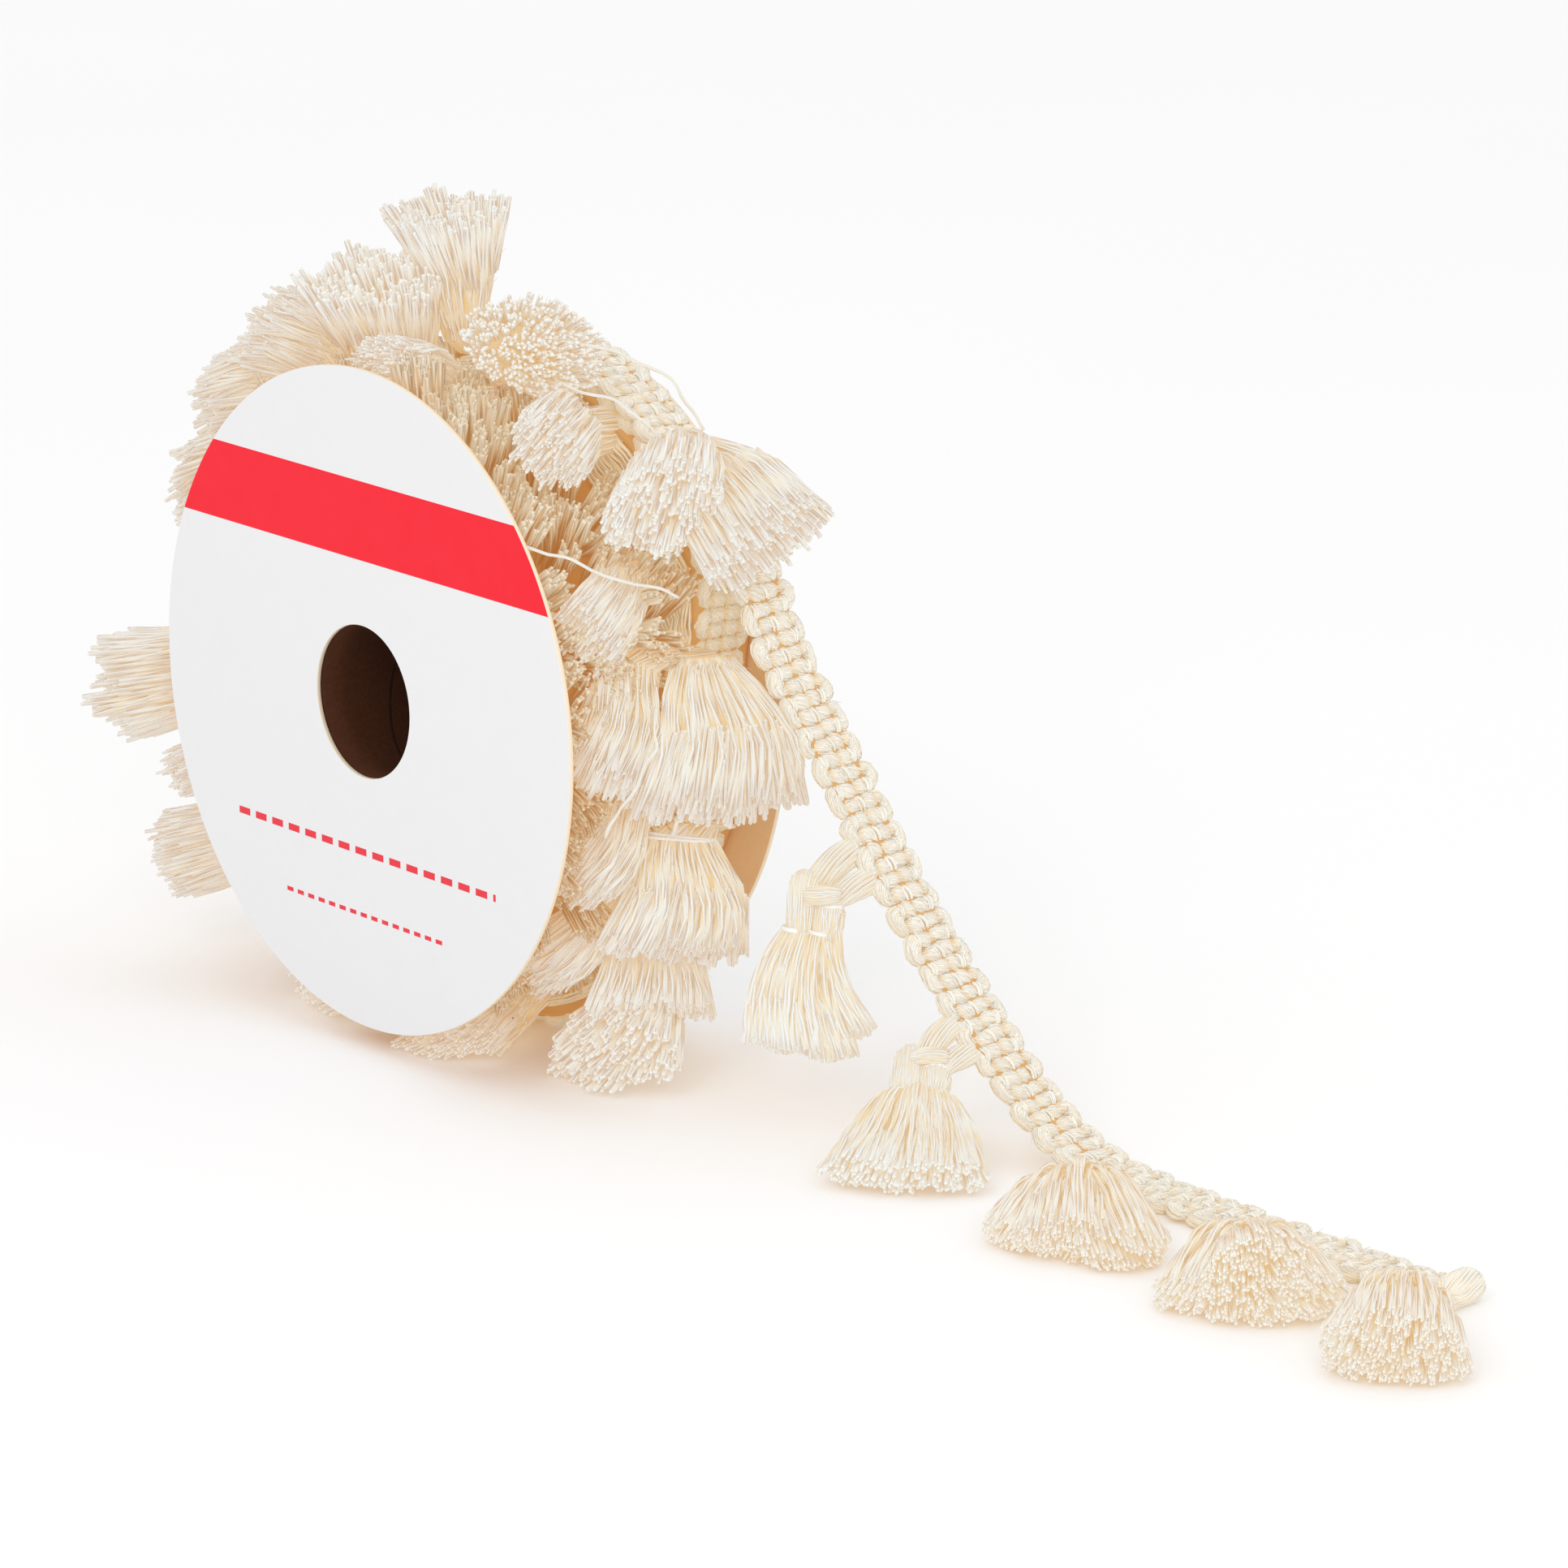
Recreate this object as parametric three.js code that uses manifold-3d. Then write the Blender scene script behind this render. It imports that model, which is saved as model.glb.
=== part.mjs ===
// Cotton tassel fringe wound on a card reel, with one loose end laid out on the table.
// Millimetres, +Z up. The reel's axis runs along Y; the loose end leaves it towards +X.

import * as THREE from 'three';
import { mergeVertices } from 'three/addons/utils/BufferGeometryUtils.js';
import Module from 'manifold-3d';

const wasm = await Module();
wasm.setup();

// Reel of card
const FLANGE_RADIUS = 82.5;
const FLANGE_THICKNESS = 1.2;
const REEL_HALF_WIDTH = 33;
const BORE_RADIUS = 19;
const CORE_WALL = 2;
const AXIS_HEIGHT = 88;

// Clearance between pieces that touch on the real thing
const GAP = 0.4;

// Points of a mesh that are closer than this are one point
const WELD = 1e-3;

// Heading braid
const BRAID_HALF_WIDTH = 8.5;
const BRAID_NOTCH = 1.3;
const BRAID_THICKNESS = 3;
const BRAID_RIB = 0.45;
const BRAID_EDGE_THIN = 0.6;
const LOBE_PITCH = 8;
const BRAID_Y = 22;

// Wound trim: a stack of braid turns at the back, crushed tassels at the front
const WOUND_BRAID_RADIUS = 82;
const WOUND_TASSEL_RADIUS = 63;
const WOUND_LUMP = 2.5;
const WOUND_SAG = 7;
const WOUND_SAG_DEG = 42;
const STACK_FACE_Y = 13.5;
const STACK_ROUNDING = 1.2;
const LUMP_ROWS_Y = [-22, -12, -2, 6];

// Tassel: a loop of yarn, a tied head and a skirt of cut ends
const LOOP_RADIUS = 2.4;
const HEAD_RADIUS = 4.6;
const NECK_RADIUS = 3.6;
const HEAD_LENGTH = 9;
const HEAD_FLATNESS = 0.85;
const TWIN_LOBE_RADIUS = 3.4;

// Lock of a skirt: half its width and thickness at the neck, its spread there, and its belly
const LOCK_ROOT = { width: 1.2, thick: 1, spread: 0.8 };
const LOCK_BELLY = { at: 0.45, spread: 0.12, levelDrop: 0.75 };

// How far the flat side of a three-sided lock lies below its middle, as a share of its half thickness
const UNDERSIDE = 0.5;

const COTTON = { color: 0xf1e4cd, roughness: 0.95, metalness: 0 };
const WHITE_CARD = { color: 0xededed, roughness: 0.7, metalness: 0 };
const KRAFT_CARD = { color: 0xc79a6a, roughness: 0.85, metalness: 0 };

const UP = new THREE.Vector3(0, 0, 1);
const ACROSS = new THREE.Vector3(0, 1, 0);

const part = new THREE.Group();

function place(name, geometry, look) {
  const mesh = new THREE.Mesh(geometry, new THREE.MeshStandardMaterial(look));
  mesh.name = name;
  part.add(mesh);
  return mesh;
}

function welded(geometry) {
  geometry.deleteAttribute('normal');
  geometry.deleteAttribute('uv');
  return mergeVertices(geometry, WELD);
}

function movePoints(geometry, move) {
  const points = geometry.attributes.position;
  const point = new THREE.Vector3();
  for (let i = 0; i < points.count; i += 1) {
    point.fromBufferAttribute(points, i);
    const moved = move(point);
    points.setXYZ(i, moved.x, moved.y, moved.z);
  }
  return geometry;
}

function solid(geometry) {
  return new wasm.Manifold(new wasm.Mesh({
    numProp: 3,
    vertProperties: new Float32Array(geometry.attributes.position.array),
    triVerts: new Uint32Array(geometry.index.array),
  }));
}

function joined(geometries) {
  const whole = geometries.map(solid).reduce((sum, next) => sum.add(next));
  const mesh = whole.getMesh();
  const rough = new THREE.BufferGeometry();
  rough.setAttribute('position', new THREE.BufferAttribute(mesh.vertProperties, 3));
  rough.setIndex(new THREE.BufferAttribute(mesh.triVerts, 1));
  const geometry = mergeVertices(rough, WELD);
  const corners = geometry.index.array;
  const kept = [];
  for (let i = 0; i < corners.length; i += 3) {
    const [a, b, c] = corners.subarray(i, i + 3);
    if (a !== b && b !== c && c !== a) kept.push(a, b, c);
  }
  geometry.setIndex(kept);
  return geometry;
}

const radians = THREE.MathUtils.degToRad;
const smooth = (t) => THREE.MathUtils.smoothstep(t, 0, 1);

function onReel(degrees, radius, y) {
  const angle = radians(degrees);
  return new THREE.Vector3(radius * Math.cos(angle), y, AXIS_HEIGHT + radius * Math.sin(angle));
}

// Reel: two discs and a tube

function flangeGeometry() {
  const disc = new THREE.Shape().absarc(0, 0, FLANGE_RADIUS, 0, 2 * Math.PI);
  disc.holes.push(new THREE.Path().absarc(0, 0, BORE_RADIUS, 0, 2 * Math.PI, true));
  const depth = FLANGE_THICKNESS;
  return new THREE.ExtrudeGeometry(disc, { depth, bevelEnabled: false, curveSegments: 26 });
}

// Disc that reaches from backY towards the front by its thickness
function flange(name, backY) {
  const mesh = place(name, flangeGeometry(), WHITE_CARD);
  mesh.rotation.x = Math.PI / 2;
  mesh.position.set(0, backY, AXIS_HEIGHT);
}

function turned(profile, segments) {
  const points = [...profile, profile[0]].map(([radius, y]) => new THREE.Vector2(radius, y));
  return welded(new THREE.LatheGeometry(points, segments));
}

function core() {
  const end = REEL_HALF_WIDTH - FLANGE_THICKNESS - GAP;
  const outer = BORE_RADIUS + CORE_WALL;
  const ring = turned([[BORE_RADIUS, -end], [outer, -end], [outer, end], [BORE_RADIUS, end]], 32);
  place('core_tube', ring, KRAFT_CARD).position.z = AXIS_HEIGHT;
}

// Wound trim

function lump(angle, y) {
  const long = Math.sin(5 * angle + y * 0.21) + Math.cos(3 * angle + y * 0.5);
  const waves = long + Math.sin(9 * angle - y * 0.33);
  return WOUND_LUMP * waves / 2;
}

function sag(angle) {
  const fromBottom = Math.abs(THREE.MathUtils.radToDeg(angle) + 90);
  return fromBottom < WOUND_SAG_DEG ? WOUND_SAG * smooth(1 - fromBottom / WOUND_SAG_DEG) : 0;
}

function winding() {
  const inner = BORE_RADIUS + CORE_WALL + GAP;
  const end = REEL_HALF_WIDTH - FLANGE_THICKNESS - GAP;
  const front = [-end, ...LUMP_ROWS_Y].map((y) => [WOUND_TASSEL_RADIUS, y]);
  const back = [STACK_FACE_Y + 1, BRAID_Y, end - 1].map((y) => [WOUND_BRAID_RADIUS, y]);
  const edge = WOUND_BRAID_RADIUS - STACK_ROUNDING;
  const profile = [
    [inner, -end], ...front, [WOUND_TASSEL_RADIUS, STACK_FACE_Y], [edge, STACK_FACE_Y],
    ...back, [edge, end], [inner, end],
  ];
  const geometry = movePoints(turned(profile, 54), (point) => {
    const radius = Math.hypot(point.x, point.z);
    const angle = Math.atan2(point.z, point.x);
    const onBraid = radius > edge - 1;
    const onTassels = !onBraid && radius > inner + 1 && point.y < STACK_FACE_Y - 1;
    const swollen = radius + (onBraid ? sag(angle) : 0) + (onTassels ? lump(angle, point.y) : 0);
    const z = Math.max(swollen * Math.sin(angle), -AXIS_HEIGHT);
    return new THREE.Vector3(swollen * Math.cos(angle), point.y, z);
  });
  place('wound_trim', geometry, COTTON).position.z = AXIS_HEIGHT;
}

// Loose end of the heading braid, from its last part turn on the reel to its cut end

const BRAID_ARC = { fromDeg: 90, toDeg: 50, stepDeg: 5 };

const TAIL_ROUTE = [
  { x: 73, y: 22, height: 137 },
  { x: 84.5, y: 22.5, height: 124.5 },
  { x: 91.5, y: 23.8, height: 110 },
  { x: 101, y: 25.6, height: 95.5 },
  { x: 111.5, y: 27.3, height: 81.5 },
  { x: 122.5, y: 29, height: 66.5 },
  { x: 133.5, y: 31, height: 52 },
  { x: 145, y: 32.7, height: 38.5 },
  { x: 157.5, y: 34.4, height: 25.5 },
  { x: 170.5, y: 36.2, height: 13.5 },
  { x: 185.5, y: 38, height: 5 },
  { x: 203, y: 38.6, height: 2 },
  { x: 227, y: 37.6, height: 1.95 },
  { x: 250, y: 37.2, height: 1.95 },
  { x: 270, y: 38.2, height: 1.95 },
  { x: 291, y: 38.4, height: 1.95 },
  { x: 301, y: 39.2, height: 1.95 },
  { x: 310, y: 40.4, height: 1.95 },
];

function braidRoute() {
  const points = [];
  const radius = WOUND_BRAID_RADIUS + GAP + BRAID_RIB + BRAID_THICKNESS / 2;
  for (let degrees = BRAID_ARC.fromDeg; degrees >= BRAID_ARC.toDeg; degrees -= BRAID_ARC.stepDeg) {
    points.push(onReel(degrees, radius, BRAID_Y));
  }
  for (const { x, y, height } of TAIL_ROUTE) {
    points.push(new THREE.Vector3(x, y, height));
  }
  return new THREE.CatmullRomCurve3(points, false, 'centripetal');
}

const route = braidRoute();
route.arcLengthDivisions = 600;
const ROUTE_LENGTH = route.getLength();
const BRAID_ROWS = 2 * Math.round(ROUTE_LENGTH / LOBE_PITCH);
const ROW_LENGTH = ROUTE_LENGTH / BRAID_ROWS;

// Point, run, side and normal of the braid at a distance along it; side points away from the tassels
function braidFrame(distance) {
  const u = THREE.MathUtils.clamp(distance / ROUTE_LENGTH, 0, 1);
  const at = route.getPointAt(u);
  const run = route.getTangentAt(u);
  const normal = new THREE.Vector3().crossVectors(run, ACROSS).normalize();
  const side = new THREE.Vector3().crossVectors(normal, run).normalize();
  return { at, run, normal, side };
}

function braid() {
  const box = new THREE.BoxGeometry(2, BRAID_THICKNESS, BRAID_ROWS, 3, 1, BRAID_ROWS);
  const geometry = movePoints(welded(box), (point) => {
    const row = Math.round(point.z + BRAID_ROWS / 2);
    const { at, normal, side } = braidFrame(row * ROW_LENGTH);
    const betweenLobes = (row + (point.x > 0 ? 1 : 0)) % 2 === 0;
    const onEdge = Math.abs(point.x) > 0.9;
    const half = BRAID_HALF_WIDTH - (onEdge && betweenLobes ? BRAID_NOTCH : 0);
    const rib = betweenLobes ? 0 : BRAID_RIB;
    const thick = Math.sign(point.y) * (BRAID_THICKNESS / 2 + rib) * (onEdge ? BRAID_EDGE_THIN : 1);
    const moved = at.clone().addScaledVector(side, point.x * half).addScaledVector(normal, thick);
    moved.z = Math.max(moved.z, 0);
    return moved;
  });
  place('braid_loose_end', geometry, COTTON);
}

// Tassels

// Places in a skirt's end, across and deep, each from -1 to 1; level skirts fill the upper half only
function lockPlaces(count, level) {
  const places = [];
  if (level) {
    const rows = [
      { share: 0.45, spread: 1, lift: 0 },
      { share: 0.33, spread: 0.74, lift: 0.52 },
      { share: 0.22, spread: 0.42, lift: 1 },
    ];
    for (const { share, spread, lift } of rows) {
      const inRow = Math.round(count * share);
      for (let i = 0; i < inRow; i += 1) {
        places.push({ across: spread * (2 * (i + 0.5) / inRow - 1), deep: lift });
      }
    }
    return places;
  }
  const middle = Math.round(count / 5);
  for (let i = 0; i < middle; i += 1) {
    places.push({ across: middle > 1 ? 0.4 * (2 * i / (middle - 1) - 1) : 0, deep: 0 });
  }
  for (let i = 0; i < count - middle; i += 1) {
    const angle = 2 * Math.PI * (i + 0.5) / (count - middle);
    places.push({ across: Math.cos(angle), deep: Math.sin(angle) });
  }
  return places;
}

function alongPath(curve, sides, steps, shape) {
  const tube = new THREE.CylinderGeometry(1, 1, 1, sides, steps);
  return movePoints(welded(tube), (point) => shape(curve, 0.5 - point.y, point));
}

function lock(head, tip, bow, wideAxis, deepAxis, spot, form) {
  const reach = { across: spot.across * form.wide / 2, deep: spot.deep * form.deep / 2 };
  const neckScale = NECK_RADIUS * LOCK_ROOT.spread;
  const start = head.clone()
    .addScaledVector(wideAxis, spot.across * neckScale)
    .addScaledVector(deepAxis, spot.deep * neckScale);
  const end = tip.clone()
    .addScaledVector(wideAxis, reach.across)
    .addScaledVector(deepAxis, reach.deep);
  const middle = start.clone().lerp(end, LOCK_BELLY.at)
    .addScaledVector(wideAxis, reach.across * LOCK_BELLY.spread)
    .add(bow);
  if (form.level) middle.z = THREE.MathUtils.lerp(start.z, end.z, LOCK_BELLY.levelDrop);
  const curve = new THREE.QuadraticBezierCurve3(start, middle, end);
  return alongPath(curve, form.sides, form.steps, (path, t, point) => {
    const width = THREE.MathUtils.lerp(LOCK_ROOT.width, form.lockWide / 2, t);
    const thick = THREE.MathUtils.lerp(LOCK_ROOT.thick, form.lockThick / 2, t);
    const at = path.getPoint(t);
    at.z = Math.max(at.z, thick * UNDERSIDE);
    at.addScaledVector(wideAxis, point.x * width).addScaledVector(deepAxis, point.z * thick);
    at.z = Math.max(at.z, 0);
    return at;
  });
}

function headLobe(centre, along, wideAxis, deepAxis, radius) {
  const ball = new THREE.SphereGeometry(1, 7, 4);
  return movePoints(welded(ball), (point) => centre.clone()
    .addScaledVector(along, -point.y * HEAD_LENGTH / 2)
    .addScaledVector(wideAxis, point.x * radius)
    .addScaledVector(deepAxis, point.z * radius * HEAD_FLATNESS));
}

function loopTube(from, away, to, radius) {
  const middle = from.clone().addScaledVector(away, from.distanceTo(to) * 0.5);
  const curve = new THREE.QuadraticBezierCurve3(from, middle, to);
  return alongPath(curve, 5, 2, (path, t, point) => {
    const tangent = path.getTangent(t);
    const first = Math.abs(tangent.z) > 0.9 ? ACROSS : UP;
    const one = new THREE.Vector3().crossVectors(tangent, first).normalize();
    const two = new THREE.Vector3().crossVectors(tangent, one).normalize();
    const at = path.getPoint(t).addScaledVector(one, point.x * radius).addScaledVector(two, point.z * radius);
    at.z = Math.max(at.z, 0);
    return at;
  });
}

function tassel(name, spec) {
  const { root, away, head, tip, bow, wide, form } = spec;
  const along = tip.clone().sub(head).normalize();
  const wideAxis = wide.clone().addScaledVector(along, -wide.dot(along)).normalize();
  const deepAxis = new THREE.Vector3().crossVectors(along, wideAxis).normalize();
  if (deepAxis.z < 0) {
    deepAxis.negate();
    wideAxis.negate();
  }
  if (form.level) deepAxis.copy(UP);
  const pieces = root.map((start) => loopTube(start, away, head, LOOP_RADIUS));
  for (const side of form.lobes) {
    const centre = head.clone().addScaledVector(wideAxis, side);
    const radius = form.lobes.length > 1 ? TWIN_LOBE_RADIUS : HEAD_RADIUS;
    pieces.push(headLobe(centre, along, wideAxis, deepAxis, radius));
  }
  for (const spot of lockPlaces(form.locks, form.level)) {
    pieces.push(lock(head, tip, bow, wideAxis, deepAxis, spot, form));
  }
  place(name, joined(pieces), COTTON);
}

// Tassels on the reel. Angles are round the axis from +X, radii from the axis, y along it.
// turn swings the skirt's wide direction from the axis (0) to the rim (90); bow lifts its middle.
const REEL_TASSELS = [
  { name: 'a', deg: 99, r: 83, y: 5, tipDeg: 94.5, tipR: 117, tipY: 1, wide: 27, deep: 13, turn: -65, bow: 0 },
  { name: 'b', deg: 109, r: 76, y: -3, tipDeg: 101, tipR: 103, tipY: -15, wide: 27, deep: 14, turn: -68, bow: 3 },
  { name: 'c', deg: 92, r: 71, y: -1, tipDeg: 90, tipR: 84, tipY: -26, wide: 22, deep: 7, turn: 90, bow: 4 },
  { name: 'd', deg: 127, r: 76, y: 0, tipDeg: 122, tipR: 102, tipY: -18, wide: 31, deep: 11, turn: 90, bow: 3 },
  { name: 'e', deg: 152, r: 76, y: 0, tipDeg: 150, tipR: 101, tipY: -20, wide: 28, deep: 11, turn: 90, bow: 3 },
  { name: 'f', deg: 188, r: 84, y: -1, tipDeg: 190, tipR: 119, tipY: -25, wide: 25, deep: 15, turn: 90, bow: 3 },
  { name: 'g', deg: 216, r: 80, y: 0, tipDeg: 212, tipR: 117, tipY: -23, wide: 20, deep: 11, turn: 90, bow: 3 },
  { name: 'h', deg: 200, r: 72, y: -2, tipDeg: 203, tipR: 99, tipY: -25, wide: 11, deep: 7, turn: 90, bow: 2 },
  { name: 'k', deg: -17, r: 79, y: 6, tipDeg: -34, tipR: 94, tipY: 0, wide: 32, deep: 10, turn: 0, bow: 5 },
  { name: 'l', deg: 13, r: 87, y: 6, tipDeg: -9, tipR: 94, tipY: 3, wide: 32, deep: 10, turn: 0, bow: 6 },
  { name: 'm', deg: 31, r: 73, y: 0, tipDeg: 20, tipR: 77, tipY: -20.5, wide: 18, deep: 8, turn: 78, bow: 4 },
  { name: 'n', deg: 46, r: 86, y: 5, tipDeg: 28, tipR: 105, tipY: 5, wide: 42, deep: 11, turn: 0, bow: 7 },
  { name: 'o', deg: 60, r: 79, y: 2, tipDeg: 50, tipR: 91, tipY: -21, wide: 19, deep: 9, turn: 85, bow: 6 },
  { name: 'p', deg: 78, r: 82, y: 3, tipDeg: 67, tipR: 99, tipY: -9, wide: 25, deep: 15, turn: -42, bow: 3 },
  { name: 'q', deg: 15, r: 73.5, y: -6, tipDeg: -6, tipR: 76, tipY: -20, wide: 18, deep: 8, turn: 50, bow: 4 },
  { name: 'r', deg: -10, r: 71, y: -4, tipDeg: -28, tipR: 75, tipY: -20, wide: 18, deep: 8, turn: 58, bow: 4 },
  { name: 's', deg: -34, r: 71, y: -3, tipDeg: -50, tipR: 77, tipY: -20, wide: 18, deep: 8, turn: 60, bow: 4 },
  { name: 't', deg: -37, r: 80, y: 6, tipDeg: -44, tipR: 99, tipY: -1, wide: 28, deep: 9, turn: 0, bow: 3 },
];

// Tassels pressed level on the table under the reel; x from the axis, reach is the skirt's end
const FLOOR_TASSELS = [
  { name: 'u', x: 58, y: 9, height: 18, tipX: 67, tipY: -13, wide: 38, deep: 15, wall: { deg: -55, r: 79 } },
  { name: 'v', x: 9, y: 6, height: 6.5, tipX: 18, tipY: -27, wide: 29, deep: 8, wall: { deg: -83, r: 78 } },
  { name: 'w', x: -26, y: 6, height: 9.5, tipX: -28, tipY: -27, wide: 36, deep: 14, wall: { deg: -108, r: 79 } },
];

const REEL_FORM = { locks: 8, sides: 3, steps: 2, lockWide: 6.5, lockThick: 4.5, lobes: [0], level: false };
const FLOOR_FORM = { ...REEL_FORM, steps: 3, lockWide: 5, lockThick: 4, level: true };

function reelTassels() {
  for (const row of REEL_TASSELS) {
    const wallR = THREE.MathUtils.clamp(row.r, 70, 78);
    const around = onReel(row.tipDeg + 90, 1, 0).sub(onReel(0, 0, 0));
    const wide = ACROSS.clone().multiplyScalar(Math.cos(radians(row.turn)))
      .addScaledVector(around, Math.sin(radians(row.turn)));
    const outward = onReel((row.deg + row.tipDeg) / 2, 1, 0).sub(onReel(0, 0, 0));
    tassel(`tassel_reel_${row.name}`, {
      root: [onReel(row.deg, wallR, STACK_FACE_Y - GAP)],
      away: ACROSS.clone().negate(),
      head: onReel(row.deg, row.r, row.y),
      tip: onReel(row.tipDeg, row.tipR, row.tipY),
      bow: outward.multiplyScalar(row.bow),
      wide,
      form: { ...REEL_FORM, wide: row.wide, deep: row.deep },
    });
  }
  for (const row of FLOOR_TASSELS) {
    tassel(`tassel_reel_${row.name}`, {
      root: [onReel(row.wall.deg, row.wall.r, STACK_FACE_Y - GAP)],
      away: ACROSS.clone().negate(),
      head: new THREE.Vector3(row.x, row.y, row.height),
      tip: new THREE.Vector3(row.tipX, row.tipY, UNDERSIDE * FLOOR_FORM.lockThick / 2),
      bow: new THREE.Vector3(0, 0, 0),
      wide: new THREE.Vector3(1, 0, 0),
      form: { ...FLOOR_FORM, wide: row.wide, deep: row.deep },
    });
  }
}

// Tassels on the loose end; lobe counts braid lobes back from its cut end
const TAIL_TASSELS = [
  { name: 1, lobe: 27, head: [116.5, 14, 53], tip: [117.5, 10.5, 18.5], wide: 26, deep: 16, level: false },
  { name: 2, lobe: 21, head: [152.5, 16.5, 19.5], tip: [174, -8, 0.9], wide: 46, deep: 20, level: true },
  { name: 3, lobe: 14, head: [208, 18, 5], tip: [235, -10, 0.9], wide: 42, deep: 17, level: true },
  { name: 4, lobe: 7, head: [264, 18, 5], tip: [285, -9, 0.9], wide: 36, deep: 19, level: true },
  { name: 5, lobe: 1, head: [316, 18, 5], tip: [335, -5, 0.9], wide: 37, deep: 20, level: true },
];

const HANGING_FORM = { locks: 12, sides: 3, steps: 3, lockWide: 5, lockThick: 4, lobes: [-2.6, 2.6], level: false };
const LYING_FORM = { ...HANGING_FORM, locks: 12, lockWide: 6, lockThick: 4.6, level: true };

function tailTassels() {
  for (const row of TAIL_TASSELS) {
    const lobeRow = BRAID_ROWS - 2 * row.lobe + 1;
    const { at, run, side } = braidFrame(lobeRow * ROW_LENGTH);
    const away = side.clone().negate();
    const edge = at.clone().addScaledVector(away, BRAID_HALF_WIDTH + GAP);
    const head = new THREE.Vector3(...row.head);
    const tip = new THREE.Vector3(...row.tip);
    const level = new THREE.Vector3().crossVectors(UP, tip.clone().sub(head)).normalize();
    const form = row.level ? LYING_FORM : HANGING_FORM;
    tassel(`tassel_loose_${row.name}`, {
      root: [edge.clone().addScaledVector(run, -1), edge.clone().addScaledVector(run, 1)],
      away,
      head,
      tip,
      bow: new THREE.Vector3(0, 0, 0),
      wide: row.level ? level : new THREE.Vector3(0.8, 0.6, 0),
      form: { ...form, wide: row.wide, deep: row.deep },
    });
  }
}

flange('flange_front', -REEL_HALF_WIDTH + FLANGE_THICKNESS);
flange('flange_back', REEL_HALF_WIDTH);
core();
winding();
braid();
reelTassels();
tailTassels();

// The origin is the middle of the whole part's footprint, on the table
part.updateMatrixWorld(true);
const extent = new THREE.Box3().setFromObject(part, true);
const middle = extent.getCenter(new THREE.Vector3());
part.position.set(-middle.x, -middle.y, -extent.min.z);

export default part;
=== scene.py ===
"""Cotton tassel fringe wound on a card reel, with one loose end laid out on the table."""
import math
from collections import defaultdict, namedtuple

import bmesh
import bpy
import numpy as np
from mathutils import Matrix, Vector


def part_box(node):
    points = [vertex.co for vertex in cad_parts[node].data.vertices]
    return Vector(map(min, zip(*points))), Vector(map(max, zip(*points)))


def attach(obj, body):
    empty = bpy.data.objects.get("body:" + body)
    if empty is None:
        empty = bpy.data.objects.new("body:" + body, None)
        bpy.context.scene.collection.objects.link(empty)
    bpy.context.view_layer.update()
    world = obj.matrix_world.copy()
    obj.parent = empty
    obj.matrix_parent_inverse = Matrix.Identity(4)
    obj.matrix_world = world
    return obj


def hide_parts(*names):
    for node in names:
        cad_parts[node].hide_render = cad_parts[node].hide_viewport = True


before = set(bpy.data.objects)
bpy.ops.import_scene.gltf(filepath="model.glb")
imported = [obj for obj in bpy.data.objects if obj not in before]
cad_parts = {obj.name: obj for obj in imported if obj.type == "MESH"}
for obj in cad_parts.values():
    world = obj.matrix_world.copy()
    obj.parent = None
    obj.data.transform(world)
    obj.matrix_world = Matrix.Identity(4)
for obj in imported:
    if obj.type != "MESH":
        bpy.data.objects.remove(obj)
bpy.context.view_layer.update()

# Lengths below are millimetres from the reel's middle: x and y from its axis and half way between
# its discs, z up from the table. to_row() turns them into the row frame's metres.
MM = 0.001
FLANGE_RADIUS = 82.5
FLANGE_THICKNESS = 1.2
HALF_WIDTH = 33.0
INNER_HALF = HALF_WIDTH - FLANGE_THICKNESS
BORE_RADIUS = 19.0
CORE_WALL = 2.0
AXIS_HEIGHT = 88.0
BRAID_Y = 22.0
STACK_FACE_Y = 13.5
STACK_RADIUS = 82.0
BED_RADIUS = 63.0
GAP = 0.4
LOWEST = 0.02

UP = np.array([0.0, 0.0, 1.0])
ACROSS = np.array([0.0, 1.0, 0.0])
PI = math.pi

front_low, front_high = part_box("flange_front")
_, back_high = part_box("flange_back")
ORIGIN = np.array([
    (front_low.x + front_high.x) / 2,
    (front_low.y + back_high.y) / 2,
    (front_low.z + front_high.z) / 2 - AXIS_HEIGHT * MM,
])


def to_row(points):
    return np.asarray(points, float) * MM + ORIGIN


def unit(v):
    return v / np.linalg.norm(v, axis=-1, keepdims=True)


def square_to(v, along):
    """The part of v that is square to the unit vector along."""
    return v - (v * along).sum(-1, keepdims=True) * along


def smooth(t):
    t = np.clip(t, 0.0, 1.0)
    return t * t * (3 - 2 * t)


def lerp(a, b, t):
    return a + (b - a) * t


def on_reel(degrees, radius, y):
    angle = np.radians(degrees)
    return np.stack(np.broadcast_arrays(
        radius * np.cos(angle), y, AXIS_HEIGHT + radius * np.sin(angle)), axis=-1)


def outward_at(degrees):
    return on_reel(degrees, 1, 0) - on_reel(0, 0, 0)


def run_along(lines):
    """Distance along each line of points, from its start."""
    gaps = np.linalg.norm(np.diff(lines, axis=-2), axis=-1)
    return np.concatenate([np.zeros_like(gaps[..., :1]), gaps.cumsum(-1)], axis=-1)


def read_at(values, places, at):
    """Rows of values, known at places, read at others between them."""
    return np.stack([np.interp(at, places, column) for column in values.T], axis=-1)


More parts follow.
